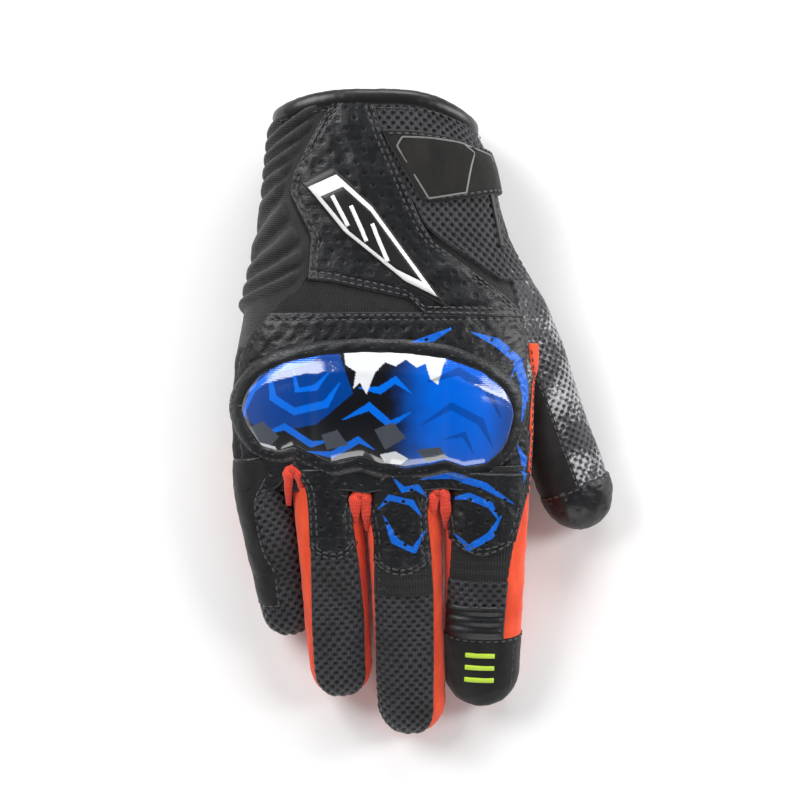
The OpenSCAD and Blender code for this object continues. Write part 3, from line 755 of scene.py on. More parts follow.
def closed_grid(name, top, low, material, attributes, rule):
    """A closed sheet from two grids of points, its upper and its lower side."""
    n, m = top.shape[:2]
    both = {key: (kind, np.concatenate([values.reshape(n * m, -1)] * 2)) for key,
            (kind, values) in attributes.items()}
    obj = new_object(name, np.vstack([top.reshape(-1, 3), low.reshape(-1, 3)]), sheet_faces(n, m),
                     material, both)
    mesh_is_out(obj)
    return attach(obj, rule)


def ribbon(name, tube, s, a, widths, off, material, rule, high=0.5, rows=7):
    """A raised bead along a line on a tube; widths is one number or one for each point."""
    s, a = np.asarray(s, float), np.asarray(a, float)
    track = tube.at(s, a, 0)
    ahead = unit(np.gradient(track, axis=0))
    up = tube.normal(s, a)
    side = unit(np.cross(up, ahead))
    t = np.linspace(0, math.pi, rows)
    half = np.broadcast_to(np.asarray(widths, float) / 2, s.shape)
    across, rise = -np.cos(t), np.sin(t) ** 0.7
    base = tube.at(s, a, off)
    top = base[:, None] + side[:, None] * (across[None, :, None] * half[:, None, None]) + up[:,
        None] * (rise * high)[None, :, None]
    low = base[:, None] + side[:, None] * (across[None, :, None] * half[:, None, None]) - up[:,
                                                                                             None] * 0.35
    cloth = np.stack([np.broadcast_to(across * half[:, None], (len(s), rows)),
                      np.broadcast_to(np.arange(len(s))[:, None], (len(s), rows)),
                      np.full((len(s), rows), 5.0)], -1)
    return closed_grid(name, top, low, material, {"cloth": ("FLOAT_VECTOR", cloth)}, rule)


def outline(points, tube=HAND, step=0.8, closed=True):
    """(s, a) along a polygon given in plan, on a tube's upper side."""
    pts = np.array(points + points[:1] if closed else points, float)
    run = np.concatenate([[0], np.cumsum(np.linalg.norm(np.diff(pts, axis=0), axis=1))])
    at = np.linspace(0, run[-1], max(3, int(run[-1] / step)))
    x, y = np.interp(at, run, pts[:, 0]), np.interp(at, run, pts[:, 1])
    return y, tube.arc_of(y, x)


def inside(x, y, polygon):
    """Whether plan positions lie inside a polygon."""
    hit = np.zeros(np.shape(x), bool)
    for (x0, y0), (x1, y1) in zip(polygon, polygon[1:] + polygon[:1]):
        if y0 != y1:
            cross = (y0 > y) != (y1 > y)
            hit ^= cross & (x < (x1 - x0) * (y - y0) / (y1 - y0) + x0)
    return hit


def reach_in(x, y, polygon):
    """Distance in from the edge of a polygon in plan, negative outside it."""
    near = np.full(np.shape(x), 1e3)
    for (x0, y0), (x1, y1) in zip(polygon, polygon[1:] + polygon[:1]):
        dx, dy = x1 - x0, y1 - y0
        t = np.clip(((x - x0) * dx + (y - y0) * dy) / max(dx * dx + dy * dy, 1e-9), 0, 1)
        near = np.minimum(near, np.hypot(x - x0 - t * dx, y - y0 - t * dy))
    return np.where(inside(x, y, polygon), near, -near)


# ---------------------------------------------------------------- colour areas, in plan

BLUE, DEEP, PALE, SLATE = (0.0, 0.14, 0.72), (0.0, 0.045, 0.26), (0.7, 0.72, 0.74), (0.06, 0.07, 0.09)


def band(points, width):
    """A bent band of even width with pointed ends, as a polygon round a line in plan."""
    pts = np.array(points, float)
    ahead = unit(np.gradient(pts, axis=0))
    side = ahead[:, ::-1] * np.array([-1, 1])
    half = width / 2 * np.minimum(1, np.minimum(np.arange(len(pts)), np.arange(len(pts))[::-1]) + 0.12)[:,
        None]
    return [tuple(p) for p in np.vstack([pts + side * half, (pts - side * half)[::-1]])]


STRIPES = [
    band([(-9, -25), (-5, -30), (0, -29), (4, -33.5)], 2.6),
    band([(1, -26), (14, -24.5), (27, -28.5), (38, -36)], 2.8),
    band([(-14, -38), (-10, -33), (-2, -35), (2, -41)], 2.6),
    band([(-12, -40), (-8, -50), (-1, -54), (3, -46)], 3.0),
    band([(14, -34), (21, -32.5), (29, -36), (32, -42)], 2.8),
    band([(33, -40), (29, -48), (21, -53), (16, -47)], 3.0),
    band([(38.5, -12), (41.5, -18), (41, -28)], 2.4),
    band([(40, -4), (42, 8), (39, 20), (31, 27), (21, 31)], 3.4),
    band([(36, 12), (38.5, 18), (33, 26)], 1.8), band([(-2, 27), (6, 28.5), (15, 33)], 3.0),
]
SHARDS = [
    (DEEP, [(-67, 0), (-60, 14), (-48, 21), (-30, 24), (-24, 8), (-38, -4), (-58, -8)]),
    (BLUE, band([(-66, -2), (-62, 9), (-52, 17), (-42, 20), (-34, 24)], 2.6)),
    (BLUE, band([(-56, 18), (-54, 6), (-46, 1), (-34, 4), (-29, 12)], 3.0)),
    (BLUE, band([(-47, 18), (-45, 9), (-38, 10), (-33, 16)], 2.4)),
    (BLUE, band([(-60, -9), (-50, -5), (-40, -12), (-32, -10)], 2.8)),
    (BLUE, band([(-42, -15), (-32, -16), (-22, -10), (-16, -14)], 3.0)),
    (BLUE, band([(-28, -2), (-18, 3), (-10, -4), (-2, 1)], 3.4)),
    (BLUE, band([(-22, 10), (-14, 9), (-8, 13), (-2, 8)], 3.0)),
    (SLATE, [(-64, -6), (-58, -3), (-52, -9), (-58, -15)]),
    (SLATE, [(-36, -8), (-30, -6), (-26, -12), (-34, -14)]),
    (SLATE, [(-16, -6), (-9, -3), (-4, -9), (-12, -14)]),
    (PALE, [(-28, 25), (15, 25), (11, 20.5), (8, 11), (5, 13.5), (3.5, 19), (0, 17.5), (-4, 20.5),
            (-8, 18), (-12, 19.5), (-16, 15.5), (-19, 7.5),
            (-21.5, 12), (-24, 9.5), (-23, 16), (-27, 18.5)]),
    (PALE, [(-14, -16), (-8, -14.5), (-3, -17.5), (-6, -20), (-12, -19.5)]),
    (SLATE, [(0, -14), (9, -13), (12, -17.5), (4, -19)]),
    (PALE, [(-60, -11.5), (-54, -13), (-53, -16), (-58, -15)]),
]


def leather_paint(places):
    """Blue patches: how deep each place lies inside the nearest one is kept in alpha."""
    x, y = places[..., 0], places[..., 1]
    depth = np.max([reach_in(x, y, shape) for shape in STRIPES], axis=0)
    out = np.zeros(x.shape + (4,))
    out[..., :3] = BLUE
    out[..., 3] = 0.5 + np.clip(depth, -1.5, 1.5) / 3
    return out


def guard_paint(places):
    x, y = places[..., 0], places[..., 1]
    out = np.zeros(x.shape + (4,))
    fade = ramp(x + 1.5 * waves(x, y, 12, 3), -12, 8)[..., None]
    out[..., :3] = (1 - fade) * np.array((0.006, 0.007, 0.01)) + fade * np.array((0.0, 0.11, 0.62))
    edge = ramp(x, 24, 37)[..., None]
    out[..., :3] = out[..., :3] * (1 - 0.72 * edge) + np.array((0.0, 0.015, 0.09)) * 0.72 * edge
    for colour, shape in SHARDS:
        out[inside(x, y, shape)] = colour + (1,)
    for shape, tone in ((band([(4, 12), (16, 16), (27, 9), (32, -2)], 3.4), 0.55),
                        (band([(2, -4), (13, 3), (24, -3), (29, -13)], 3.2), 0.6),
                        (band([(10, -10), (18, -8), (22, -16)], 2.6), 0.6)):
        out[inside(x, y, shape), :3] *= tone
    out[..., 3] = 1
    return out


# ---------------------------------------------------------------- the hand

def closed_tube(name, tube, s_from, s_to, off, thick, material, rule, step=2.0, replaces=(),
                cols=120):
    rows = np.linspace(s_from, s_to, max(3, int((s_to - s_from) / step) + 1))
    S, U = np.meshgrid(rows, np.linspace(-0.5, 0.5, cols, endpoint=False), indexing="ij")
    A = U * tube.around(S)
    top, low = tube.at(S, A, off), tube.at(S, A, off - thick)
    n, m = S.shape
    index = np.arange(n * m).reshape(n, m)
    after = np.roll(index, -1, 1)
    quads = np.stack([index[:-1], index[1:], after[1:], after[:-1]], -1).reshape(-1, 4)
    ends = [np.stack([row, nxt, nxt + n * m, row + n * m], -1) for row,
            nxt in ((index[0], after[0]), (index[-1][::-1], after[-1][::-1]))]
    cloth = np.stack([A, S, np.full(S.shape, 5.0)], -1).reshape(-1, 3)
    obj = new_object(name, np.vstack([top.reshape(-1, 3), low.reshape(-1, 3)]),
                     np.vstack([quads[:, ::-1], quads + n * m, *ends]), material,
                     {"cloth": ("FLOAT_VECTOR", np.vstack([cloth, cloth]))})
    mesh_is_out(obj)
    attach(obj, rule)
    if replaces:
        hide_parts(*replaces)
    return obj


FRONT = ROOT_Y + 6
closed_tube("hand_lining", HAND, FRONT - 2, CUFF_Y, -0.5, 0.8, LINING, ON_HAND, cols=160)

# the front wall that the fingers come out of
wall_rows = np.linspace(0, 1, 14)
loop = HAND.at(FRONT - 2, np.linspace(-0.5, 0.5, 160) * HAND.around(FRONT - 2), -0.6)
centre = loop.mean(0)
fill = centre + (loop[None] - centre) * wall_rows[:, None, None]
closed_grid("front_wall", fill, fill + np.array([0, 1.2, 0]), LINING,
            {"cloth": ("FLOAT_VECTOR",
                       np.stack([fill[..., 0], fill[..., 2], np.full(fill.shape[:2], 5.0)], -1))},
                       ON_HAND)

RIB_LINE = [(122, -31.5), (110, -38.8), (91, -47.3), (83, -48.6), (74, -44.6), (64, -39.5), (56, -40),
            (48, -45), (38, -56), (27, -66)]
rib_edge = plan([(y, x + 0.8) for y, x in RIB_LINE], 3)


def rib_relief(a, s, far):
    """Padded round-ended ribs that run down towards the little-finger side."""
    top = rib_edge(s)
    inner = top - a
    run = s + 0.62 * inner
    pitch = 8.6
    phase = (run / pitch) % 1 - 0.5
    across = np.clip(np.abs(phase) * pitch / 2.7, 0, 1)
    body = np.sqrt(1 - across ** 2)
    ends = ramp(inner, 4.2, 6.4) * (1 - ramp(inner, 36, 42)) * ramp(run, 52, 55)
    return 2.8 * body * ends - 0.2 * (1 - body) * ends + 0.18 * waves(a, s, 14, 11)


panel("rib_panel_skin", HAND, 24, CUFF_Y - 1, share(-0.345), rib_edge, RIB, ON_HAND, lift=0.1, thick=0.7,
      step=0.95, relief=rib_relief, replaces=["rib_panel"], slot="stretch_rib", sides="LRSE")

leather_left = plan([(y, x - 0.4) for y, x in RIB_LINE[:7]] + [(48, -41), (30, -41)], 3)
leather_right = plan([(120, -16), (110, -12.8), (98, -7), (88, -2.2), (81, 1), (72, 6), (65, 16),
                      (58, 26), (54, 32), (48, 39), (40, 41.5), (30, 42)], 2)
upper_front = curve([(0, 50.8), (0.1, 50), (0.46, 43.2), (0.52, 37), (1, 36)], 0.02)


def to_front(s_from, s_to, front):
    """Stretches a panel along its rows so that its front edge follows a curve."""
    return lambda S, A, U: (s_to - (s_to - S) * (s_to - front(U)) / (s_to - s_from), A)


def hole_zone(a, s, far):
    return ramp(far, 2.8, 4.2)


def upper_relief(a, s, far):
    x, y = HAND.at(s, a, 0)[..., 0], HAND.at(s, a, 0)[..., 1]
    fold = sum(h * np.exp(-(((x - x0) * math.cos(t) + (y - y0) * math.sin(t)) / w) ** 2)
               * np.exp(-(((y - y0) * math.cos(t) - (x - x0) * math.sin(t)) / l) ** 2)
               for x0, y0, t, w, l, h in ((22, 50, 1.9, 2.2, 16, -0.8), (14, 56, 2.0, 2.6, 15, 0.7),
                                          (30, 42, 1.8, 2.0, 12, -0.7),
                                          (-30, 106, 0.3, 2.5, 14, -0.6), (-24, 100, 0.25, 2.5, 16, 0.5),
                                          (6, 40, 1.6, 2.4, 20, -0.6)))
    return creases(21, 17, 0.34, 0.16)(a, s, far) + fold


def with_mask(obj, values):
    layer = obj.data.attributes.new("mask", "FLOAT", "POINT")
    layer.data.foreach_set("value", np.tile(np.asarray(values, np.float32).ravel(), 2))


def leather_panel(name, tube, s_from, s_to, left, right, rule, material=None, zone=hole_zone, **more):
    obj = panel(name, tube, s_from, s_to, left, right, material or LEATHER, rule, paint=leather_paint,
                **more)
    cloth = np.empty(len(obj.data.vertices) * 3, np.float32)
    obj.data.attributes["cloth"].data.foreach_get("vector", cloth)
    cloth = cloth.reshape(-1, 3)
    layer = obj.data.attributes.new("mask", "FLOAT", "POINT")
    layer.data.foreach_set("value", zone(cloth[:, 0], cloth[:, 1], cloth[:, 2]).astype(np.float32))
    return obj


leather_panel("back_leather_upper", HAND, 45.5, CUFF_Y - 1.2, leather_left, leather_right, ON_HAND,
              lift=0.9, thick=1.2,
              step=0.9, relief=upper_relief, replaces=["back_leather"], slot="black_leather",
              grooves=(1.6, 3.6), seams="LRS", shape=to_front(45.5, CUFF_Y - 1.2, upper_front))


def lower_shape(S, A, U):
    """The front edge steps back where the web between the ring and little fingers starts."""
    x = -69 + 111 * U
    back = 8.5 * np.exp(-((x + 48.2) / 5.2) ** 2) - 1.0 * np.exp(-((x + 21.6)
        / 4) ** 2) + 0.6 * np.exp(-((x - 8.7) / 4) ** 2)
    return S + back * (1 - ramp(S, -31, -18)), A


leather_panel("back_leather_lower", HAND, -31, 39,
              plan([(42, -55), (38, -57), (30, -64.5), (20, -68.5), (0, -70), (-31, -66)]),
              plan([(42, 41.5), (18, 43), (0, 43.8), (-31, 43)]), ON_HAND, lift=0.5, thick=1.1, step=0.6,
              relief=creases(31, 15, 0.3, 0.15), grooves=(1.6, 3.4), seams="E", shape=lower_shape)
panel("stretch_insert_skin", HAND, 37, 51.5, plan([(52, -41), (48, -46), (38, -57.5), (37, -58)], 2),
      plan([(52, 5), (36, 5)]), KNIT, ON_HAND,
      lift=0.3, thick=0.5, step=0.8, relief=lambda a, s, far: 0.25 * waves(a, s, 9, 4),
      replaces=["stretch_insert"], slot="stretch_knit", sides="")

# badge: an elongated six-sided plate, white rim on black
BADGE = [(-42, 88), (-31, 93), (-17, 80), (9, 43.5), (-4, 50), (-28, 70)]
badge_mid = np.mean(BADGE, 0)


def scaled(points, k):
    return [tuple(badge_mid + (np.array(p) - badge_mid) * k) for p in points]


def plate(name, polygon, off, high, material, layers=10, replaces=()):
    y, arc = outline(polygon, step=0.6)
    mid_y, mid_a = y.mean(), arc.mean()
    grow = np.linspace(0, 1, layers)[:, None]
    S, A = mid_y + (y - mid_y)[None] * grow, mid_a + (arc - mid_a)[None] * grow
    level = off + high * np.sqrt(np.clip(1 - ramp(grow, 0.86, 1.0), 0, 1)) * np.ones(S.shape)
    cloth = np.stack([A, S, (1 - grow) * 8 * np.ones(S.shape)], -1)
    obj = closed_grid(name, HAND.at(S, A, level), HAND.at(S, A, off - 0.8), material,
                      {"cloth": ("FLOAT_VECTOR", cloth)}, ON_HAND)
    if replaces:
        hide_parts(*replaces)
    return obj


plate("badge_surround", scaled(BADGE, 1.14), 1.9, 0.9, BLACK_RUBBER,
      replaces=["badge"])
plate("badge_rim", BADGE, 2.5, 0.95, WHITE)
plate("badge_face", scaled(BADGE, 0.8), 3.1, 0.75, BLACK_RUBBER)
for k, (bar_from, bar_to) in enumerate((((-32, 84), (-26, 72)), ((-25, 80), (-19, 66)),
                                        ((-17, 73), (-11, 58)))):
    bar_y, bar_a = outline([bar_from, bar_to], closed=False)
    ribbon(f"badge_bar_{k}", HAND, bar_y, bar_a, 1.7, 3.75, WHITE, ON_HAND, high=0.3)

# guard, its frame and the foam below it
G_LEFT, G_RIGHT = -67.5, 37.8
guard_front = curve([(0, 2), (0.02, -6), (0.07, -13.5), (0.14, -15.5), (0.2, -13.5), (0.24, -16),
                     (0.33, -20.5), (0.4, -18.8), (0.44, -18), (0.5, -20.5),
                     (0.6, -22.4), (0.7, -20.6), (0.75, -19.2), (0.82, -21.8), (0.9, -20.5), (0.96, -15),
                     (0.99, -8), (1, 0)], 0.018)
guard_back = curve([(0, 2), (0.02, 9), (0.07, 15.5), (0.16, 20), (0.3, 22.8), (0.45, 23.8), (0.6, 23.4),
                    (0.75, 21.4), (0.88, 16.5), (0.96, 10), (0.99, 5), (1, 0)], 0.018)


def guard_grid(rows, cols, grow=0.0):
    U, V = np.meshgrid(ramp_free(cols), ramp_free(rows))
    x = G_LEFT - grow + (G_RIGHT - G_LEFT + 2 * grow) * U
    front, back = guard_front(U) - grow, guard_back(U) + grow
    y = front + (back - front) * V
    return U, V, y, HAND.arc_of(y, x)


def ramp_free(count):
    """Positions 0 to 1, closer together at both ends."""
    t = np.linspace(0, 1, count)
    return 0.35 * t + 0.65 * (0.5 - 0.5 * np.cos(math.pi * t))


U, V, gy, ga = guard_grid(190, 440)
dome = np.sin(math.pi * V) ** 0.5 * np.sin(math.pi * np.clip(U, 0.0, 1)) ** 0.42
lobes = 1 + 0.055 * np.cos((U - 0.075) / 0.262 * math.tau) * (1 - V) ** 0.6
brow = 0.35 * np.exp(-((V - 0.82) / 0.05) ** 2) * np.sin(math.pi * U) ** 0.5
valley = -0.9 * np.exp(-((U - 0.52) / 0.022) ** 2) * (1
    - V) - 0.7 * np.exp(-((U - 0.26) / 0.02) ** 2) * (1
        - V) - 0.7 * np.exp(-((U - 0.76) / 0.02) ** 2) * (1 - V)
level = 1.4 + 5.9 * dome * lobes + valley * dome + brow
guard_places = HAND.at(gy, ga, 0)
gap = np.minimum(np.minimum(U, 1 - U) * 105, np.minimum(V, 1 - V) * 42)
guard_cloth = np.stack([ga, gy, gap], -1)
shell = closed_grid("knuckle_guard_shell", HAND.at(gy, ga, level),
                    HAND.at(gy, ga, np.minimum(level - 1.2, 0.9 + 4.4 * dome)), GLOSS,
                    {"cloth": ("FLOAT_VECTOR", guard_cloth),
                     "paint": ("FLOAT_COLOR", guard_paint(guard_places))}, ON_HAND)
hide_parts("knuckle_guard")
U, V, fy, fa = guard_grid(24, 60, -1.5)
fill_level = 0.6 + 4.0 * np.sin(math.pi * V) ** 0.6 * np.sin(math.pi * U) ** 0.5
foam = closed_grid("knuckle_foam_pad", HAND.at(fy, fa, fill_level),
                   HAND.at(fy, fa, -0.2 + 0 * fill_level), FOAM,
                   {"cloth": ("FLOAT_VECTOR", np.stack([fa, fy, gap[:24, :60] * 0 + 5], -1))}, ON_HAND)
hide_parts("knuckle_foam")

# leather ring sewn around the guard, with two rows of stitches
turn = np.linspace(0, 1, 420, endpoint=False)
ring_u = 0.5 - 0.5 * np.cos(turn * math.tau)
ring_y = np.where(turn < 0.5, guard_back(ring_u), guard_front(ring_u))
ring_x = G_LEFT + (G_RIGHT - G_LEFT) * ring_u
ring_line = np.stack([ring_x, ring_y], 1)
spread = np.concatenate([[0],
                         np.cumsum(np.linalg.norm(np.diff(np.vstack([ring_line, ring_line[:1]]), axis=0),
                                                  axis=1))])
even = np.linspace(0, spread[-1], 420)
ring_line = np.stack([np.interp(even, spread, np.append(ring_line[:, k], ring_line[0, k]))
                      for k in range(2)], 1)
kernel = np.hanning(13) / np.hanning(13).sum()
ring_line = np.stack([np.convolve(np.pad(ring_line[:-1, k], 6, mode="wrap"), kernel, "valid")
                      for k in range(2)], 1)
ring_line = np.vstack([ring_line, ring_line[:1]])
out_dir = unit(np.gradient(ring_line, axis=0))[:, ::-1] * np.array([1, -1])
if np.sum(out_dir * (ring_line - ring_line.mean(0))) < 0:
    out_dir = -out_dir


def ring_strip(name, inner, outer, height, material, bands):
    k = np.linspace(0, 1, bands)
    at = ring_line[:, None] + out_dir[:, None] * (inner + (outer - inner) * k)[None, :, None]
    at[..., 0] = np.clip(at[..., 0], -71.5, 44)
    y, x = at[..., 1], at[..., 0]
    arc = HAND.arc_of(y, x)
    lev = height(k)[None, :] * np.ones(y.shape) + 0.14 * waves(arc, y, 8, 41)
    cloth = np.stack([arc, y, np.minimum(k, 1 - k)[None, :] * (outer - inner) * np.ones(y.shape)], -1)
    attributes = {
        "cloth": ("FLOAT_VECTOR", cloth),
        "paint": ("FLOAT_COLOR", leather_paint(HAND.at(y, arc, 0))),
    }
    return closed_grid(name, HAND.at(y, arc, lev), HAND.at(y, arc, 0.2), material, attributes, ON_HAND)


ring = ring_strip("guard_frame_leather", -0.9, 5.2,
                  lambda k: 2.3 + 0.75 * np.sin(math.pi * np.clip(k, 0, 1)) ** 0.5 - 1.2 * k ** 3,
                  LEATHER, bands=14)
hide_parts("guard_frame")
for k, inset in enumerate((1.3, 3.3)):
    line = ring_line + out_dir * inset
    line[:, 0] = np.clip(line[:, 0], -71, 43.5)
    stitches(f"guard_frame_thread_{k}", HAND, line[:, 1], HAND.arc_of(line[:, 1], line[:, 0]),
             2.75 - 0.15 * k, ON_HAND, 2.6, 1.9, 0.55)

# the outer side, the thumb side and the palm
panel("outer_side_patch_skin", HAND, -31, 26, share(-0.31),
      plan([(26, -66), (10, -69.5), (-10, -68), (-31, -62)]), SUEDE,
      ON_HAND, lift=0.1, thick=0.8, step=1.3, relief=creases(51, 16, 0.3), replaces=["outer_side_patch"],
      slot="black_suede", grooves=(1.6,), seams="R")

gusset_left = plan([(119, -18), (110, -15), (98, -9), (88, -5), (80, -1), (72, 3.5), (64, 14), (56, 26),
                    (50, 34)], 3)
panel("cuff_gusset_mesh", HAND, 51, CUFF_Y - 1, gusset_left, share(0.235), MESH, ON_HAND, lift=0.3,
      thick=1.2, step=0.5,
               relief=mesh_holes(), replaces=["cuff_gusset"], slot="black_mesh", sides="LRSE")
side_edge = plan([(58, 34), (48, 38.5), (40, 40), (18, 41.5), (-10, 42), (-33, 41)], 4)
for name, y_from, y_to, node in (("index_side_mesh", -33, 21, "index_side_wall"),
                                 ("thumb_gore_mesh", 20.2, 58, "thumb_gore")):
    side_mesh = panel(name, HAND, y_from, y_to, side_edge, share(0.25), PRINTED_MESH, ON_HAND, lift=0.2,
                      thick=0.9, step=0.6,
                      relief=mesh_holes(3.0, 0.5, 0.78), replaces=[node], slot="black_mesh")
    with_mask(side_mesh, np.ones(side_mesh["grid"][0] * side_mesh["grid"][1]))
pipe_y = np.linspace(88, 64, 30)
ribbon("gusset_piping", HAND, pipe_y, HAND.arc_of(pipe_y, np.interp(pipe_y, [64, 88], [32.5, 27.5])), 2.6,
       1.5, BLACK_RUBBER, ON_HAND, high=1.0)
stripe_line = plan([(30, 44.8), (18, 45.4), (0, 46), (-20, 45.6), (-34, 44.6)], 4)
panel("side_stripe", HAND, -34, 27, lambda s: stripe_line(s) - 2.0, lambda s: stripe_line(s) + 3.5,
      ORANGE, ON_HAND, lift=1.1, thick=0.7,
      step=0.7, relief=creases(71, 9, 0.14), grooves=(1.0,), seams="L")
panel("palm_suede_skin", HAND, -30, CUFF_Y - 1, share(0.235), share(0.665), SUEDE, ON_HAND, lift=0.1,
      thick=1.1, step=1.5,
      relief=creases(81, 24, 0.5, 0.12), replaces=["palm_suede"], slot="black_suede", grooves=(1.8,),
      seams="LR")


def find_arc(x, y):
    """The arc on the palm side with this plan position."""
    a = np.linspace(0.27, 0.73, 400) * HAND.around(y)
    return float(a[np.argmin(np.abs(HAND.at(y, a, 0)[:, 0] - x))])


def palm_box(node, grow=0.0):
    low, high = (np.array(v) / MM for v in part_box(node))
    return low[0] - grow, high[0] + grow, low[1] - grow, high[1] + grow


x0, x1, y0, y1 = palm_box("palm_overlay")
panel("palm_overlay_skin", HAND, y0, y1, lambda s: find_arc(x1 - 3, float(s)),
      lambda s: find_arc(x0, float(s)), SUEDE, ON_HAND,
      lift=1.2, thick=1.3, step=1.2, relief=creases(85, 13, 0.25), replaces=["palm_overlay"],
      slot="black_suede", grooves=(1.4, 3.2), seams="LRSE")
x0, x1, y0, y1 = palm_box("heel_pad")
hy, hu = np.linspace(y0, y1, 34), np.linspace(0, 1, 34)
HX, HY = np.meshgrid(x0 + (x1 - x0) * hu, hy)
rim = np.minimum(np.minimum(HX - x0, x1 - HX), np.minimum(HY - y0, y1 - HY))
rounded = 2.2 * (1 - np.sqrt(np.clip(1 - (1 - np.clip(rim / 2.6, 0, 1)) ** 2, 0, 1)))
ridge = 0.35 * np.exp(-(((HX - x0 + HY - y0) % 7 - 3.5) / 0.5) ** 2) * ramp(rim, 2.6, 4)
pad_top = np.stack([HX, HY, 0.05 + rounded + ridge], -1)
pad_low = np.stack([HX, HY, np.full(HX.shape, 7.2)], -1)
pad = closed_grid("heel_slider", pad_top, pad_low, SLIDER,
                  {"cloth": ("FLOAT_VECTOR", np.stack([HX, HY, rim], -1))}, ON_HAND)
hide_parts("heel_pad")

# rolled binding round the cuff, slightly gathered
turn = np.linspace(0, 1, 260, endpoint=False)
roll = np.linspace(0, 1, 14, endpoint=False)
T, W = np.meshgrid(turn, roll, indexing="ij")
around_cuff = (T - 0.5) * HAND.around(CUFF_Y - 1)
swell = 1.05 + 0.012 * np.sin(T * math.tau * 46 + 2 * np.sin(T * math.tau * 5)) + 0.03 * waves(T * 200,
    W * 10, 16, 15)
inward = HAND.at(CUFF_Y - 1.2, around_cuff, 0.5)
out_way = HAND.normal(CUFF_Y - 1.2, around_cuff)
ring_points = inward + out_way * (1.9 * swell * np.cos(W * math.tau))[...,
    None] + np.array([0, 1, 0]) * (3.5 * swell * np.sin(W * math.tau) + 0.2)[..., None]
n, m = T.shape
index = np.arange(n * m).reshape(n, m)
quads = np.stack([index, np.roll(index, -1, 0), np.roll(np.roll(index, -1, 0), -1, 1),
                  np.roll(index, -1, 1)], -1).reshape(-1, 4)
binding = new_object("cuff_binding_roll", ring_points.reshape(-1, 3), quads, BINDING,
                     {"cloth": ("FLOAT_VECTOR",
                                np.stack([around_cuff, W * 18, np.full(T.shape, 5.0)], -1))})
mesh_is_out(binding)
attach(binding, ON_HAND)
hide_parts("cuff_binding")
a_line = np.linspace(-0.49, 0.49, 300) * HAND.around(CUFF_Y - 4.6)
stitches("cuff_binding_thread", HAND, np.full(300, CUFF_Y - 4.9), a_line, 2.0, ON_HAND, 3.2, 2.2, 0.5)

# ---------------------------------------------------------------- strap and its tab

hinge = np.array(JOINTS["strap_tab_hinge"]["pos_m"]) / MM
hinge_arc = find_arc(hinge[0], hinge[1])
strap_top, strap_low = 109.5, 81.5
strap_left = plan([(112, -15), (110, -14), (81, 2.5), (78, 4)], 1.5)
strap_end = lambda s: hinge_arc * HAND.around(s) / HAND.around(hinge[1]) - 4.4


def strap_shape(S, A, U):
    """The strap climbs slightly towards the thumb side and narrows there."""
    lean = (S - strap_low) / (strap_top - strap_low)
    return S + ramp(U, 0.1, 0.6) * (3.2 * (1 - lean) - 0.8 * lean), A


panel("strap_band", HAND, strap_low, strap_top, strap_left, strap_end, STRAP, ON_HAND, lift=1.9,
      thick=1.4, step=1.1,
                    relief=creases(91, 22, 0.22, 0.05), replaces=["strap", "strap_grip"],
                    slot="strap_suede", grooves=(1.7,), seams="SE", shape=strap_shape)
frame_lines = [(-5.5, 106.5), (17, 106.8), (21, 103.5), (18.5, 85.2), (4.6, 82.8), (-7.5, 103)]
line_y, line_a = outline(frame_lines, step=0.7)
ribbon("strap_print_line", HAND, line_y, line_a, 0.75, 3.25, SILVER, ON_HAND, high=0.22)
inner_lines = [(17.6, 106.5), (26.5, 104.8), (27.5, 101)]
line_y, line_a = outline(inner_lines, step=0.7, closed=False)
ribbon("strap_print_tail", HAND, line_y, line_a, 0.7, 3.25, SILVER, ON_HAND, high=0.2)
x0, x1, y0, y1 = palm_box("strap_tab")
tab_far = find_arc(x0 + 3, (y0 + y1) / 2)
tab_low, tab_high = y0 + 0.6, y1 - 0.6
panel("strap_tab_band", HAND, tab_low, tab_high, lambda s: hinge_arc + 3.8, lambda s: tab_far, STRAP,
      ("ride", "strap_tab"), lift=2.6,
      thick=1.4, step=1.2, relief=creases(95, 20, 0.16, 0.05), replaces=["strap_tab"], slot="strap_suede",
      grooves=(1.7,), seams="SER", base=1.6)
panel("hook_patch_tape", HAND, tab_low + 3, tab_high - 3, lambda s: hinge_arc + 14, lambda s: tab_far - 3,
      HOOKS, ("ride", "strap_tab"), lift=1.35,
      thick=0.6, step=1.5, relief=lambda a, s, far: 0.1 * np.sin(a * 3.1) * np.sin(s * 3.1),
      replaces=["hook_patch"], slot="hook_tape", base=1.2)
x0, x1, y0, y1 = palm_box("loop_patch")
panel("loop_patch_pile", HAND, y0, y1, lambda s: find_arc(x1 - 2, (y0 + y1) / 2),
      lambda s: find_arc(x0, (y0 + y1) / 2), LOOPS, ON_HAND,
      lift=0.2, thick=0.55, step=1.5, relief=lambda a, s, far: 0.12 * waves(a, s, 2.5, 96),
      replaces=["loop_patch"], slot="loop_pile", edge=0.5, base=-0.2)
fold_mid = HAND.at(hinge[1], hinge_arc, 0)
fold_way = unit(HAND.at(hinge[1], hinge_arc + 3, 0) - HAND.at(hinge[1], hinge_arc - 3, 0))
panel("strap_fold", HAND, max(tab_low, strap_low + 2.6) + 1.5, tab_high - 1.5, lambda s: hinge_arc - 7.0,
      lambda s: hinge_arc + 6.0, STRAP,
      ("blend", "hand", "strap_tab", fold_mid - fold_way * 4, fold_mid + fold_way * 4), lift=2.2,
      thick=1.5, step=0.8, base=1.2, relief=creases(97, 15, 0.1, 0.0), slot="strap_suede")


# ---------------------------------------------------------------- fingers

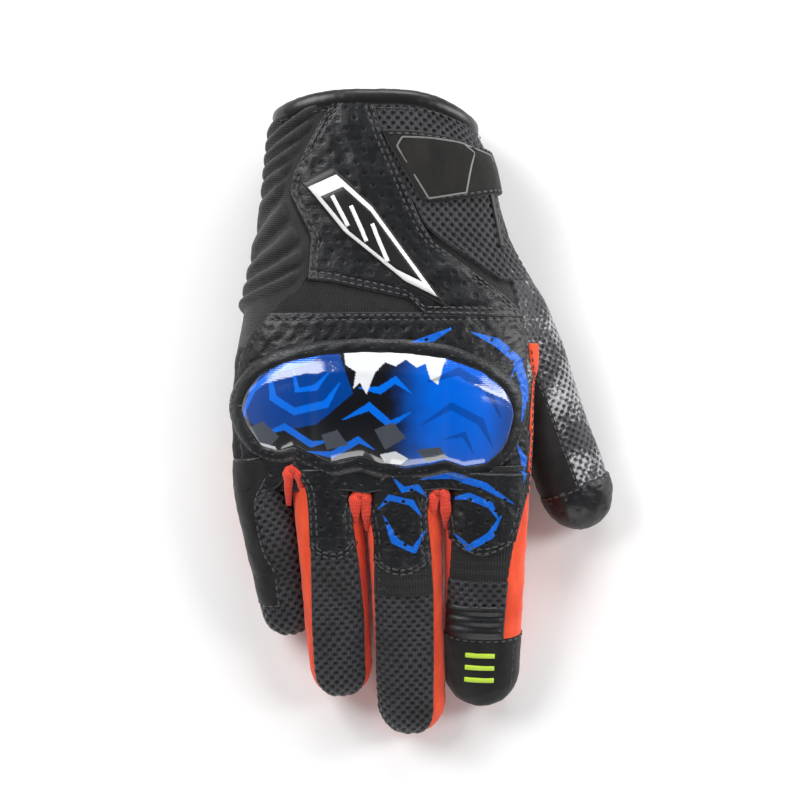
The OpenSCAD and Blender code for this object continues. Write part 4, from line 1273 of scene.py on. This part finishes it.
def digit_panel(name, digit, s_from, s_to, left, right, material, replaces=None, sides="LR",
                round_end=0.0, grooves=(), seams="", maker=panel, **more):
    """A panel along a digit, cut where the digit's bones are straight, so that each part spans one joint."""
    cuts = [-99.0]
    run = 0.0
    for k, length in enumerate(digit.lengths[:-1]):
        cuts.append(run + length * 0.52)
        run += length
    cuts.append(999.0)
    made = []
    spans = [(k, max(s_from, a), min(s_to, b)) for k,
             (a, b) in enumerate(zip(cuts, cuts[1:])) if min(s_to, b) - max(s_from, a) > 0.4]
    for count, (k, a, b) in enumerate(spans):
        edges = "LR" + "S" * (count == 0) + "E" * (count == len(spans) - 1)
        own = "".join(c for c in sides if c in edges)
        sewn = "".join(c for c in seams if c in edges)
        obj = maker(f"{name}_{'abc'[k]}", digit.tube, a, b, left, right, material=material,
                    rule=digit.follow(k), sides=own,
                    round_end=round_end if count == len(spans) - 1 else 0.0,
                    grooves=grooves if sewn else (), seams=sewn, **more)
        made.append((k, obj))
    if replaces:
        for k, obj in made:
            nodes = replaces.get(k)
            if nodes:
                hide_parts(*nodes)
    return made


def finger_leather_panel(name, tube, s_from, s_to, left, right, material, rule, **more):
    return leather_panel(name, tube, s_from, s_to, left, right, rule, material=material, **more)


def s_at(digit, y):
    mid = digit.tube.points.mean(1)[:, 1]
    s = digit.tube.s0 + digit.tube.step * np.arange(len(mid))
    return float(np.interp(-y, -mid, s))


TONGUE = {"little": -33, "ring": -57.5, "middle": -63.5, "index": -55.5}
# plan edges of the black back of each finger, (y, x), towards the little finger and towards the thumb
EDGES = {
    "little": ([(-16, -71), (-35, -69.5), (-60, -65), (-75, -63), (-95, -60)],
               [(-16, -50), (-22, -50.8), (-27, -52), (-34, -50.6), (-43, -46.6), (-50, -44.6),
                (-60, -44), (-75, -43.8), (-95, -44)]),
    "ring": ([(-16, -48), (-22, -45.8), (-27, -42.8), (-36, -41.8), (-55, -41), (-80, -40.6),
              (-100, -39.6), (-125, -38)],
             [(-16, -22.2), (-30, -23.4), (-37, -25.6), (-47, -24.6), (-58, -22.8), (-80, -20.8),
              (-125, -20)]),
    "middle": ([(-16, -21.4), (-30, -19.6), (-36, -17.4), (-48, -15.6), (-70, -15.4), (-100, -14.6),
                (-135, -13)],
               [(-16, 8), (-29, 6.4), (-33, 4.4), (-40, 4.2), (-50, 5.2), (-70, 6.6), (-100, 7.0),
                (-135, 6.6)]),
    "index": ([(-16, 9), (-29, 11), (-33, 12.9), (-40, 13.5), (-52, 14.2), (-70, 13.2), (-90, 12.9),
               (-125, 14)],
              [(-16, 44), (-30, 42.8), (-40, 40.6), (-50, 38.4), (-66, 36), (-84, 34.6), (-125, 33.6)]),
}
PALM_SHARE = {"little": (0.36, 0.64), "ring": (0.36, 0.64), "middle": (0.36, 0.64), "index": (0.35, 0.65)}

def finger_edge(digit, line):
    """The arc along a finger of an edge given in plan, kept to the same share of the girth near the tip."""
    rows = np.arange(digit.tube.s0, digit.total, 1.0)
    y = digit.tube.points.mean(1)[:, 1]
    y = np.interp(rows, digit.tube.s0 + digit.tube.step * np.arange(len(y)), y)
    arcs = digit.tube.arc_of(rows, curve(line, 2.5)(y)) / digit.tube.around(rows)
    steady = rows > digit.total - 16
    arcs[steady] = arcs[~steady][-1]
    arcs = np.convolve(np.pad(arcs, 3, mode="edge"), np.full(7, 1 / 7), "valid")
    return lambda s: np.interp(s, rows, arcs) * digit.tube.around(s)


for seed, f in enumerate(FINGERS):
    d = DIGITS[f]
    G = d.tube
    left, right = (finger_edge(d, line) for line in EDGES[f])
    end = d.total
    lining = digit_panel(f"{f}_lining", d, -15, end, lambda s, G=G: -0.5 * G.around(s), lambda s,
                         G=G: 0.5 * G.around(s), LINING, sides="",
                         lift=-0.7, thick=0.4, step=2.2, base=-1.0)
    # red sides
    root_nodes = {0: [f"{f}_root_sides"], 1: [f"{f}_mid_sides"]}
    digit_panel(f"{f}_side_inner", d, -5, end, lambda s, e=right: e(s) - 1.6, lambda s, G=G,
                v=PALM_SHARE[f][0]: (v + 0.01) * G.around(s),
                ORANGE, root_nodes, lift=0.15, thick=0.75, step=1.1,
                relief=creases(200 + seed, 10, 0.2, 0.06), slot="orange_suede")
    digit_panel(f"{f}_side_outer", d, -5, end, lambda s, G=G,
                v=PALM_SHARE[f][0]: -(v + 0.01) * G.around(s), lambda s, e=left: e(s) + 1.6,
                ORANGE if f != "little" else SUEDE, lift=0.15, thick=0.75, step=1.1,
                relief=creases(210 + seed, 10, 0.2, 0.06), slot="orange_suede")
    # suede below
    palm_nodes = {0: [f"{f}_root_palm"], 1: [f"{f}_mid_palm"], 2: [f"{f}_tip_palm"]}
    digit_panel(f"{f}_palm", d, -13, end, lambda s, G=G, v=PALM_SHARE[f][0]: (v - 0.005) * G.around(s),
                lambda s, G=G, v=PALM_SHARE[f][1]: (v + 0.005) * G.around(s),
                ORANGE, palm_nodes, lift=0.35, thick=0.9, step=1.2,
                relief=creases(220 + seed, 12, 0.28, 0.08), slot="orange_suede",
                grooves=(1.2,), seams="LR")
    # black back: leather tongue, stretch band, mesh
    tongue = s_at(d, TONGUE[f])
    back_nodes = {0: [f"{f}_root_back"], 1: [f"{f}_mid_back"], 2: [f"{f}_tip_back"]}
    mesh_from = tongue - 10
    if f == "index":
        bands = [s_at(d, y) for y in (-57, -64.5, -73.5, -86)]
        digit_panel("index_stretch", d, bands[0] - 10, bands[1] + 1, left, right, KNIT, lift=0.3,
                    thick=0.7, step=0.8, slot="stretch_knit",
                    relief=lambda a, s, far: 0.3 * np.sin(s * 1.9))
        digit_panel("index_mesh", d, bands[1], bands[2] + 1.5, left, right, MESH, lift=0.45, thick=1.2,
                    step=0.5, relief=mesh_holes(), slot="black_mesh")
        digit_panel("index_ribs", d, bands[2], bands[3] + 1, left, right, FINGER_LEATHER,
                    maker=finger_leather_panel, sides="LRSE", lift=0.9,
                    thick=0.8, step=0.7, slot="black_leather", zone=lambda a, s, far: far * 0,
                    relief=lambda a, s, far, b0=bands[2],
                    b1=bands[3]: 1.25 * np.abs(np.sin((s - b0) / (b1 - b0) * math.pi * 3)) ** 0.7 - 0.4)
        digit_panel("index_cap", d, bands[3], end, lambda s, e=left: e(s) - 4, lambda s,
                    G=G: 0.33 * G.around(s), SUEDE, {2: ["index_tip_back"]}, lift=0.5, thick=0.9,
                    step=1.0, sides="LRS",
                    relief=creases(301, 16, 0.3, 0.05), slot="black_suede", grooves=(1.1,), seams="S")
    else:
        digit_panel(f"{f}_mesh", d, mesh_from, end, left, right, MESH, back_nodes, lift=0.45, thick=1.2,
                    step=0.5, relief=mesh_holes(), slot="black_mesh")
        if f == "middle":
            b0, b1 = s_at(d, -54), s_at(d, -70.5)
            digit_panel("middle_stretch", d, b0, b1, left, right, KNIT, lift=1.0, thick=0.8, step=0.8,
                        slot="stretch_knit", sides="LRE", relief=lambda a, s, far: 0.25 * np.sin(s * 1.9))
    if f == "little":
        outer = finger_edge(d,
                            [(-16, -58), (-24, -57), (-32, -62), (-44, -60.5), (-54, -58), (-60, -54),
                             (-72, -53), (-95, -53)])
        digit_panel("little_outer_suede", d, -12, s_at(d, -74), lambda s, G=G: -0.36 * G.around(s), outer,
                    SUEDE, lift=1.0, thick=0.9,
                    step=1.0, relief=creases(302, 14, 0.25, 0.06), slot="black_suede", sides="RSE",
                    grooves=(1.2,), seams="RE")
    digit_panel(f"{f}_tongue", d, -13, tongue, left, right, FINGER_LEATHER, back_nodes,
                maker=finger_leather_panel, lift=1.1 if f != "little" else 0.6, thick=1.0,
                step=0.55, relief=creases(230 + seed, 11, 0.34, 0.16), slot="black_leather", sides="LRSE",
                round_end=7 if f != "little" else 4, grooves=(1.5, 3.3), seams="LRE")

d = DIGITS["index"]
for k, y in enumerate((-92.5, -97.5, -102.5)):
    a_line = np.linspace(-6.5, 4.5, 20)
    ribbon(f"index_mark_{k}", d.tube, np.full(20, s_at(d, y)), a_line, 2.0, 1.45, LIME, d.follow(2),
           high=0.25)
seam_s = np.linspace(s_at(d, -87), d.total - 3, 40)
stitches("index_cap_thread", d.tube, seam_s, 0.15 * d.tube.around(seam_s), 1.5, d.follow(2), 2.6, 1.9,
         0.5)

# ---------------------------------------------------------------- webs between the fingers

# each is a rolled red edge that goes round the crotch, and a saddle of the same cloth below it
CROTCH = [((-48.4, -22.5), (-50.2, -37), (-43.6, -38)), ((-21.7, -32.2), (-24.4, -47), (-18.6, -47)),
          ((8.8, -30.8), (5.6, -46), (12.4, -46))]
for k, (top_at, left_at, right_at) in enumerate(CROTCH):
    t = np.linspace(0, math.pi, 40)
    half = (right_at[0] - left_at[0]) / 2
    mid = np.array([(right_at[0] + left_at[0]) / 2, 0])
    arch_x = mid[0] - half * 0.92 * np.cos(t) + (top_at[0] - mid[0]) * np.sin(t) ** 2
    arch_y = top_at[1] - half + half * 0.95 * np.sin(t) - np.abs(np.cos(t)) ** 6 * (top_at[1] - half
                                                                                    - left_at[1])
    height = HAND.at(top_at[1], HAND.arc_of(top_at[1] + 0.0, top_at[0] + 0.0), 0)[..., 2]
    leg = np.clip((top_at[1] - arch_y) / (top_at[1] - left_at[1]), 0, 1)
    arch_z = height + (0.4 if k == 0 else -1.4) - 7.5 * leg ** 1.6
    line = np.stack([arch_x, arch_y, arch_z], 1)
    ahead = unit(np.gradient(line, axis=0))
    side = unit(np.cross(ahead, np.array([0.0, 0.0, 1.0])))
    bore = np.linspace(0, math.tau, 18, endpoint=False)
    radius = (2.3 if k == 0
              else 2.7) * (1 + 0.09 * np.sin(t * 9 + k) + 0.06 * np.sin(t * 17)) * (1 - 0.62 * leg ** 1.4)
    ring = (line[:, None] + side[:, None] * (np.cos(bore)[None] * radius[:, None])[..., None]
            + np.array([0, 0, 1.0]) * (np.sin(bore)[None] * radius[:, None])[..., None])
    n, m = ring.shape[:2]
    index = np.arange(n * m).reshape(n, m)
    quads = np.stack([index[:-1], index[1:], np.roll(index, -1, 1)[1:], np.roll(index, -1, 1)[:-1]],
                     -1).reshape(-1, 4).tolist()
    quads += [index[0].tolist(), index[-1][::-1].tolist()]
    cloth = np.stack([np.broadcast_to(bore * 2.4, (n, m)),
                      np.broadcast_to(np.arange(n)[:, None] * 0.7, (n, m)), np.full((n, m), 5.0)], -1)
    web_roll = new_object(f"web_roll_{k}", ring.reshape(-1, 3), quads, RED,
                          {"cloth": ("FLOAT_VECTOR", cloth)})
    mesh_is_out(web_roll)
    attach(web_roll, ON_HAND)
    v = np.linspace(0, 1, 26)
    fall = line[None] + np.array([0, 0, -1.0]) * (v[:, None] * (arch_z.max() - 15) * (1 - 0.8 * leg))[...,
        None]
    inward = np.array([mid[0], top_at[1] - half, 0]) - line
    inward[:, 2] = 0
    low = fall + unit(inward)[None] * 0.9
    fall = fall + 0.25 * waves(np.arange(40)[None] * 0.7, v[:, None] * 20, 6, 400 + k)[..., None]
    web = closed_grid(f"web_saddle_{k}", fall, low, RED,
                      {"cloth": ("FLOAT_VECTOR",
                                 np.stack(np.broadcast_arrays(np.arange(40)[None] * 0.7, v[:, None] * 22,
                                                              5.0), -1))}, ON_HAND)
    if k == 0:
        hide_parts("web_gussets")

# ---------------------------------------------------------------- thumb

T = THUMB.tube
t_end = THUMB.total
digit_panel("thumb_lining", THUMB, -30, t_end, share(-0.5, T), share(0.5, T), LINING, sides="", lift=-0.7,
            thick=0.4, step=2.4, base=-1.0)
thumb_mesh = digit_panel("thumb_mesh", THUMB, -30, t_end - 8, share(-0.02, T), share(0.3, T),
                         PRINTED_MESH, {0: ["thumb_root_back"]}, lift=0.3,
                         thick=1.1, step=0.55, relief=mesh_holes(3.2, 0.6, 0.84), slot="black_mesh")
for k, obj in thumb_mesh:
    with_mask(obj, np.ones(obj["grid"][0] * obj["grid"][1]))
digit_panel("thumb_front", THUMB, -26, t_end, share(-0.36, T), share(0.0, T), SUEDE,
            {1: ["thumb_tip_back"]}, lift=0.6, thick=1.1, step=1.1,
            relief=creases(501, 15, 0.4, 0.1), slot="black_suede", grooves=(1.4,), seams="R")
digit_panel("thumb_palm", THUMB, -24, t_end, share(0.29, T), share(0.66, T), SUEDE,
            {0: ["thumb_root_palm"], 1: ["thumb_tip_palm"]},
            lift=0.5, thick=1.0, step=1.2, relief=creases(502, 15, 0.35, 0.1), slot="black_suede",
            grooves=(1.4,), seams="L")
digit_panel("thumb_cap", THUMB, t_end - 17, t_end, share(-0.3, T), share(0.31, T), FINGER_LEATHER,
            maker=finger_leather_panel, sides="LRS",
            lift=1.3, thick=0.9, step=0.8, relief=creases(503, 11, 0.4, 0.12), slot="black_leather",
            grooves=(1.3,), seams="S")


# ---------------------------------------------------------------- floor, light and camera

def floor():
    size, drop = 6.0, -0.0002
    mesh = bpy.data.meshes.new("floor")
    mesh.from_pydata([(-size, -size, drop), (size, -size, drop), (size, size, drop), (-size, size, drop)],
                     [], [(0, 1, 2, 3)])
    shade = bpy.data.materials.new("pale_floor")
    shade.use_nodes = True
    shade.node_tree.nodes["Principled BSDF"].inputs["Base Color"].default_value = (0.93, 0.93, 0.93, 1)
    shade.node_tree.nodes["Principled BSDF"].inputs["Roughness"].default_value = 0.9
    mesh.materials.append(shade)
    obj = bpy.data.objects.new("floor", mesh)
    bpy.context.scene.collection.objects.link(obj)


def area(name, place, target, size, power, size_y=None, colour=(1, 1, 1)):
    light = bpy.data.lights.new(name, "AREA")
    light.energy, light.size, light.color = power, size, colour
    if size_y:
        light.shape, light.size_y = "RECTANGLE", size_y
    obj = bpy.data.objects.new(name, light)
    bpy.context.scene.collection.objects.link(obj)
    obj.location = place
    obj.rotation_euler = (Vector(target) - Vector(place)).to_track_quat("-Z", "Y").to_euler()


floor()
area("left_key", (-0.75, 0.55, 0.75), (0, 0, 0.02), 0.7, 13)
area("right_strip", (0.85, 0.25, 0.45), (0, 0.02, 0.02), 0.3, 8, 0.9)
area("upper_window", (0.15, 0.85, 0.5), (0, 0.02, 0.04), 0.6, 5, 0.3)
area("lower_window", (0.1, -0.8, 0.35), (0, -0.02, 0.04), 0.7, 2.5, 0.3)
world = bpy.data.worlds.new("studio")
bpy.context.scene.world = world
world.use_nodes = True
sky = world.node_tree
place = sky.nodes.new("ShaderNodeTexCoord")
parts = sky.nodes.new("ShaderNodeSeparateXYZ")
sky.links.new(place.outputs["Generated"], parts.inputs[0])
fade = sky.nodes.new("ShaderNodeMapRange")
fade.inputs["From Min"].default_value, fade.inputs["From Max"].default_value = 0.35, 0.95
fade.inputs["To Min"].default_value, fade.inputs["To Max"].default_value = 0.35, 0.03
sky.links.new(parts.outputs["Z"], fade.inputs["Value"])
sky.nodes["Background"].inputs["Color"].default_value = (1, 1, 1, 1)
sky.links.new(fade.outputs[0], sky.nodes["Background"].inputs["Strength"])
bpy.context.scene.view_settings.view_transform = "Standard"

camera = bpy.data.cameras.new("camera")
camera.lens, camera.sensor_width = 140, 36
camera.clip_end = 20
eye = bpy.data.objects.new("camera", camera)
eye.location = (-0.0062, 0.0046, 0.312 * 140 / 36 + 0.04)
bpy.context.scene.collection.objects.link(eye)
bpy.context.scene.camera = eye
